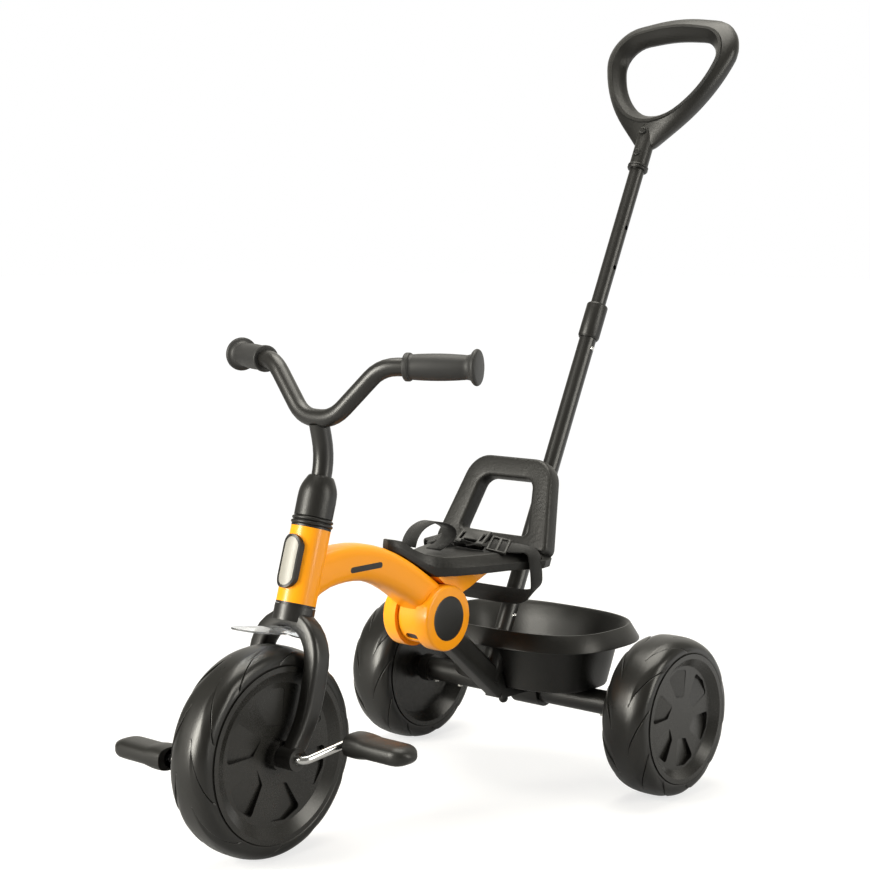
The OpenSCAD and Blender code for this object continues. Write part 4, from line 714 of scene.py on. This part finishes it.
# Grips: a beaded inner end, a barrel for the palm and a flared stop
GRIP_L = 87
GRIP_BORE_R = 10.6
BARREL_START = 9
BARREL_END = 72
BARREL_R = 14.2
BARREL_SWELL = 1.3
BARREL_TAPER = 0.6
BARREL_STEPS = 24
barrel = []
for k in range(BARREL_STEPS + 1):
    share = k / BARREL_STEPS
    swell = BARREL_SWELL * math.sin(math.pi * share) ** 0.8
    height = BARREL_START + (BARREL_END - BARREL_START) * share
    barrel.append((BARREL_R + swell - BARREL_TAPER * share, height))
bore = [(GRIP_BORE_R, GRIP_L - 3), (GRIP_BORE_R, 0.1)]
beads = [*arc((14, 2.2), 2.1, -90, 0), *arc((14, 5.4), 2.1, 0, 70)]
flare = [(13.9, 74), (14.6, 76.5), (16.2, 78.6), (18.2, 79.6)]
stop = [*arc((17.2, 83.2), 3.3, -72, 90), (11, GRIP_L + 0.1), (4, GRIP_L + 0.2)]
grip_profile = bore + beads + barrel + flare + stop
for side, node in ((1, "grip_left"), (-1, "grip_right")):
    grip_foot = at(side * 110.6, -374.8, 550.8)
    grip_axis = (side * 0.9219, 0.3874, 0.0139)
    grip = turned(node + "_foam", grip_profile, grip_foot, grip_axis, "grip_foam", "steering", ring=False)
    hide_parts(node)

# Collar over the headset: two beads at its foot and a domed shoulder
STEER_AXIS = (0, 0.289032, 0.957319)
COLLAR_FOOT = at(0, -411.97, 366.06)
collar_beads = [*arc((22.4, 2), 2, -90, 90, 6), (22.2, 4.6), *arc((22, 6.8), 2, -80, 80, 6), (21.7, 9.4)]
collar_wall = [(22.4, 10.2), (22.5, 30), (22.2, 37), (21.7, 41)]
collar_dome = [(20.5, 45.5), (18.6, 50), (16.6, 54), (15, 56.8), (13.8, 57.9)]
collar_profile = [(12.2, 0), (22, 0), *collar_beads, *collar_wall, *collar_dome, (12.2, 57.6)]
collar = turned("stem_collar_cover", collar_profile, COLLAR_FOOT, STEER_AXIS, "black_plastic", "steering")
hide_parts("stem_collar")

# Push handle: a band with a flat crest round a three-cornered opening, on a round neck
PUSH_FOOT = at(0, -81, 150)
PUSH_AXIS = Vector((0, 0.438371, 0.898794))
PUSH_FRONT = Vector((0, -0.898794, 0.438371))
HANDLE_HALF = 108.5
HANDLE_LOW = 740
HANDLE_RISE = 209
HANDLE_DEPTH = 28
NECK_LOW = 709
NECK_SHOULDER = 760
NECK_TOP = 776
CREST_W = 4
INNER_WALL_W = 13
HANDLE_SPOKES = 144
# Share of the handle's rise where the spokes meet, inside the opening
SPOKE_HUB = 0.55
HANDLE_SHARP = math.radians(24)
# Corners of one half from the lower tip to the top: shares of the half width and of the height, and the
# corner's radius as a share of the half width
OUTER_CORNERS = [(0, -0.043, 0.2), (0.824, 0.395, 2.2), (1.1, 0.914, 0.46), (0, 1.007, 2.25)]
INNER_CORNERS = [(0, 0.15, 0.5), (0.575, 0.459, 1.05), (0.785, 0.795, 0.3), (0, 0.842, 2.25)]
# Section from the outer edge: a share of the outer slope, the inner wall or the whole width, and a share of
# half the depth
OUTER_SLOPE = [(0, -0.1), (0.06, 0.16), (0.25, 0.42), (0.6, 0.66), (0.96, 0.84)]
INNER_WALL = [(0.12, 0.84), (0.5, 0.5), (0.85, 0.05), (1, -0.35)]
HANDLE_BACK = [(0.97, -0.65), (0.85, -0.93), (0.6, -1), (0.3, -1), (0.1, -0.86), (0.015, -0.45)]


def on_push_plane(across, along, out):
    """A point in millimetres across the push bar, up along it and out of its front."""
    return PUSH_FOOT + (Vector((across, 0, 0)) + PUSH_AXIS * along + PUSH_FRONT * out) * MM


def handle_outline(shares, steps=9):
    """Closed outline of the handle with an arc at each corner."""
    right = [(x * HANDLE_HALF, HANDLE_LOW + y * HANDLE_RISE, r * HANDLE_HALF) for x, y, r in shares]
    corners = right + [(-x, y, r) for x, y, r in reversed(right[1:-1])]
    outline = []
    for k, (x, y, radius) in enumerate(corners):
        here = Vector((x, y))
        back = (Vector(corners[k - 1][:2]) - here).normalized()
        ahead = (Vector(corners[(k + 1) % len(corners)][:2]) - here).normalized()
        half = back.angle(ahead) / 2
        centre = here + (back + ahead).normalized() * radius / math.sin(half)
        first = here + back * radius / math.tan(half) - centre
        last = here + ahead * radius / math.tan(half) - centre
        outline += [centre + radius * first.slerp(last, j / steps) for j in range(steps + 1)]
    return outline


def spoked(outline):
    """Points where even spokes from inside the opening meet an outline."""
    hub = Vector((0, HANDLE_LOW + SPOKE_HUB * HANDLE_RISE))
    edges = list(zip(outline, outline[1:] + outline[:1]))
    rim = []
    for k in range(HANDLE_SPOKES):
        turn = math.tau * (k + 0.5) / HANDLE_SPOKES
        tip = hub + Vector((math.cos(turn), math.sin(turn))) * 2 * HANDLE_RISE
        hits = (intersect_line_line_2d(hub, tip, a, b) for a, b in edges)
        rim.append(next(hit for hit in hits if hit))
    return rim


def handle_section(width):
    """Distances from the outer edge in millimetres, with the share of the depth there."""
    crest_end = width - INNER_WALL_W
    slope_w = crest_end - CREST_W
    section = [(share * slope_w, depth) for share, depth in OUTER_SLOPE]
    section += [(slope_w, 1), (crest_end, 1)]
    section += [(crest_end + share * INNER_WALL_W, depth) for share, depth in INNER_WALL]
    return section + [(share * width, depth) for share, depth in HANDLE_BACK]


outer_rim = spoked(handle_outline(OUTER_CORNERS))
inner_rim = spoked(handle_outline(INNER_CORNERS))
handle_points = []
for outer, inner in zip(outer_rim, inner_rim):
    width = (inner - outer).length
    for reach, depth in handle_section(width):
        spot = outer.lerp(inner, reach / width)
        handle_points.append(on_push_plane(spot.x, spot.y, depth * HANDLE_DEPTH / 2))
handle_faces = grid_faces(HANDLE_SPOKES, len(handle_points) // HANDLE_SPOKES, True, True)
band = new_piece("handle_band", handle_points, handle_faces, "black_plastic", "push_upper")
band.data.set_sharp_from_angle(angle=HANDLE_SHARP)
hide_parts("push_handle")

neck_beads = [*arc((13, 2), 1.4, -60, 60, 5), (13.2, 3.6), *arc((13, 5.4), 1.4, -60, 60, 5), (12.8, 7.2)]
neck_wall = [(12.7, NECK_SHOULDER - NECK_LOW), (11.5, NECK_TOP - NECK_LOW), (10.1, NECK_TOP - NECK_LOW)]
neck_profile = [(10.1, 0), (13.4, 0), *neck_beads, *neck_wall]
turned("handle_neck", neck_profile, on_push_plane(0, NECK_LOW, 0), PUSH_AXIS, "black_plastic", "push_upper")

# Rolled lips round the handle's two screws, at a length along the push bar and a distance out of its front
SCREW_LIPS = [("screw_lip_high", 764, HANDLE_DEPTH / 2 - 0.2), ("screw_lip_low", 731, 12.9)]
LIP_AROUND = 48
lip_profile = [(2.9, -0.6), (3.1, 0.5), *arc((4.1, 0.5), 1.0, 180, 0), (5.2, -1.2)]
for name, along, out in SCREW_LIPS:
    lip_foot = on_push_plane(0, along, out)
    turned(name, lip_profile, lip_foot, PUSH_FRONT, "black_plastic", "push_upper", LIP_AROUND)

# Tray: a thin dish with a flat sloping skirt under its rim
TRAY_W = 290
TRAY_L = 210
TRAY_POWER = 2.7
TRAY_AROUND = 160
TRAY_SHARP = math.radians(28)
tray_low, tray_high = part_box("tray")
tray_foot = Vector((0, (tray_low.y + tray_high.y) / 2, tray_low.z))
# Insets from the outer edge at the sides and at the ends, and the height over the floor
tray_outside = [(44, 41.8, 0), (40.5, 38.3, 1.2), (39, 36.8, 4), (26.4, 22, 61), (13.5, 13.5, 75.5)]
tray_skirt = [(2.5, 2.5, 61), (0.6, 0.6, 60.6), (0, 0, 61.4), (0.3, 0.3, 63)]
tray_rim = [(10.2, 10.2, 80.6), (11.4, 11.4, 82), (13, 13, 82), (14.6, 14.6, 81), (17, 17, 77)]
tray_inside = [(29.4, 25, 61), (42, 39.8, 8), (44, 41.8, 4), (47, 44.8, 3)]
tray_section = tray_outside + tray_skirt + tray_rim + tray_inside


def tray_ring(side_inset, end_inset, height):
    """Points round the tray at one place in its section."""
    ring = []
    for k in range(TRAY_AROUND):
        turn = math.tau * k / TRAY_AROUND
        x = squared(math.cos(turn), TRAY_POWER) * (TRAY_W / 2 - side_inset)
        y = squared(math.sin(turn), TRAY_POWER) * (TRAY_L / 2 - end_inset)
        ring.append(tray_foot + Vector((x, y, height)) * MM)
    return ring


tray_points = [point for place in tray_section for point in tray_ring(*place)]
tray_faces = grid_faces(len(tray_section), TRAY_AROUND, close_columns=True)
tray_faces += end_caps(len(tray_points), TRAY_AROUND)
dish = new_piece("tray_dish", tray_points, tray_faces, "black_plastic", "rear")
dish.data.set_sharp_from_angle(angle=TRAY_SHARP)
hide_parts("tray")


BLACK = (0, 0, 0)
WHITE = (1, 1, 1)
WARM = (1.0, 0.97, 0.88)
FLOOR_REACH = 30.0


def add_floor():
    """Floor that is pale round the trike and glows white further out."""
    mesh = bpy.data.meshes.new("floor")
    corners = [(x * FLOOR_REACH, y * FLOOR_REACH, 0) for x, y in ((-1, -1), (1, -1), (1, 1), (-1, 1))]
    mesh.from_pydata(corners, [], [(0, 1, 2, 3)])
    floor = bpy.data.objects.new("floor", mesh)
    bpy.context.scene.collection.objects.link(floor)
    pale = Finish("pale_floor", Roughness=0.75, Specular_IOR_Level=0.1)
    distance = pale.node("ShaderNodeVectorMath", {"operation": "LENGTH"}, {0: pale.place()}, output="Value")
    far = distance.span(1.2, 4.0)
    near_tone = pale.mix(pale.noise(0.3, 2), (0.33, 0.33, 0.33), (0.35, 0.35, 0.35))
    pale.feed("Base Color", pale.mix(far, near_tone, BLACK))
    direct = pale.rays("Camera") + pale.rays("Transmission")
    behind = pale.reach(pale.place(), (0.5, 0.85, 0.0)).span(0.1, 1.6)
    glow = (0.7 + 0.3 * far) * direct + (0.15 + 0.85 * behind) * pale.rays("Glossy")
    pale.feed("Emission Color", pale.mix(glow, BLACK, WHITE))
    pale.feed("Emission Strength", 1.0)
    mesh.materials.append(pale.material)


def add_surround():
    """World that looks white and lights the trike mostly from behind."""
    surround = Surround("surround")
    camera_rays = surround.rays("Camera")
    plain = camera_rays.math("MAXIMUM", camera_rays, surround.rays("Transmission"))
    towards = surround.node("ShaderNodeTexCoord", output="Generated")
    backdrop = surround.reach(towards, (-0.3, 0.95, 0.0)).span(0.3, 0.85)
    level = 0.24 + 0.75 * backdrop
    surround.feed("Color", surround.mix(plain, WARM, WHITE))
    surround.feed("Strength", level + (1.0 - level) * plain)
    bpy.context.scene.world = surround.material


def aimed(name, data, spot, aim):
    """A lamp or camera at a spot, looking at another one."""
    holder = bpy.data.objects.new(name, data)
    bpy.context.scene.collection.objects.link(holder)
    holder.location = spot
    holder.rotation_euler = (Vector(aim) - Vector(spot)).to_track_quat("-Z", "Y").to_euler()
    return holder


def add_softbox(name, spot, size, power):
    lamp = bpy.data.lights.new(name, "AREA")
    lamp.shape = "RECTANGLE"
    lamp.size, lamp.size_y = size
    lamp.energy = power
    lamp.color = WARM
    aimed(name, lamp, spot, (0, 0, 0.4))


def add_camera():
    """Camera of the photograph: its focal length is known in pixels of the picture's width."""
    focal_px = 1814.33
    picture_px = 870
    camera = bpy.data.cameras.new("camera")
    camera.sensor_width = 36
    camera.lens = camera.sensor_width * focal_px / picture_px
    bpy.context.scene.camera = aimed("camera", camera, at(1450.1, -1867.7, 686.5), at(0, -196.8, 453.3))


bpy.context.scene.view_settings.view_transform = "Standard"
add_floor()
add_surround()
add_softbox("key", (-1.1, -2.9, 1.2), (0.9, 2.0), 165)
add_softbox("fill", (2.9, 0.5, 1.2), (1.0, 2.0), 58)
add_softbox("overhead", (-0.3, 0.3, 2.8), (1.8, 1.8), 75)
add_camera()
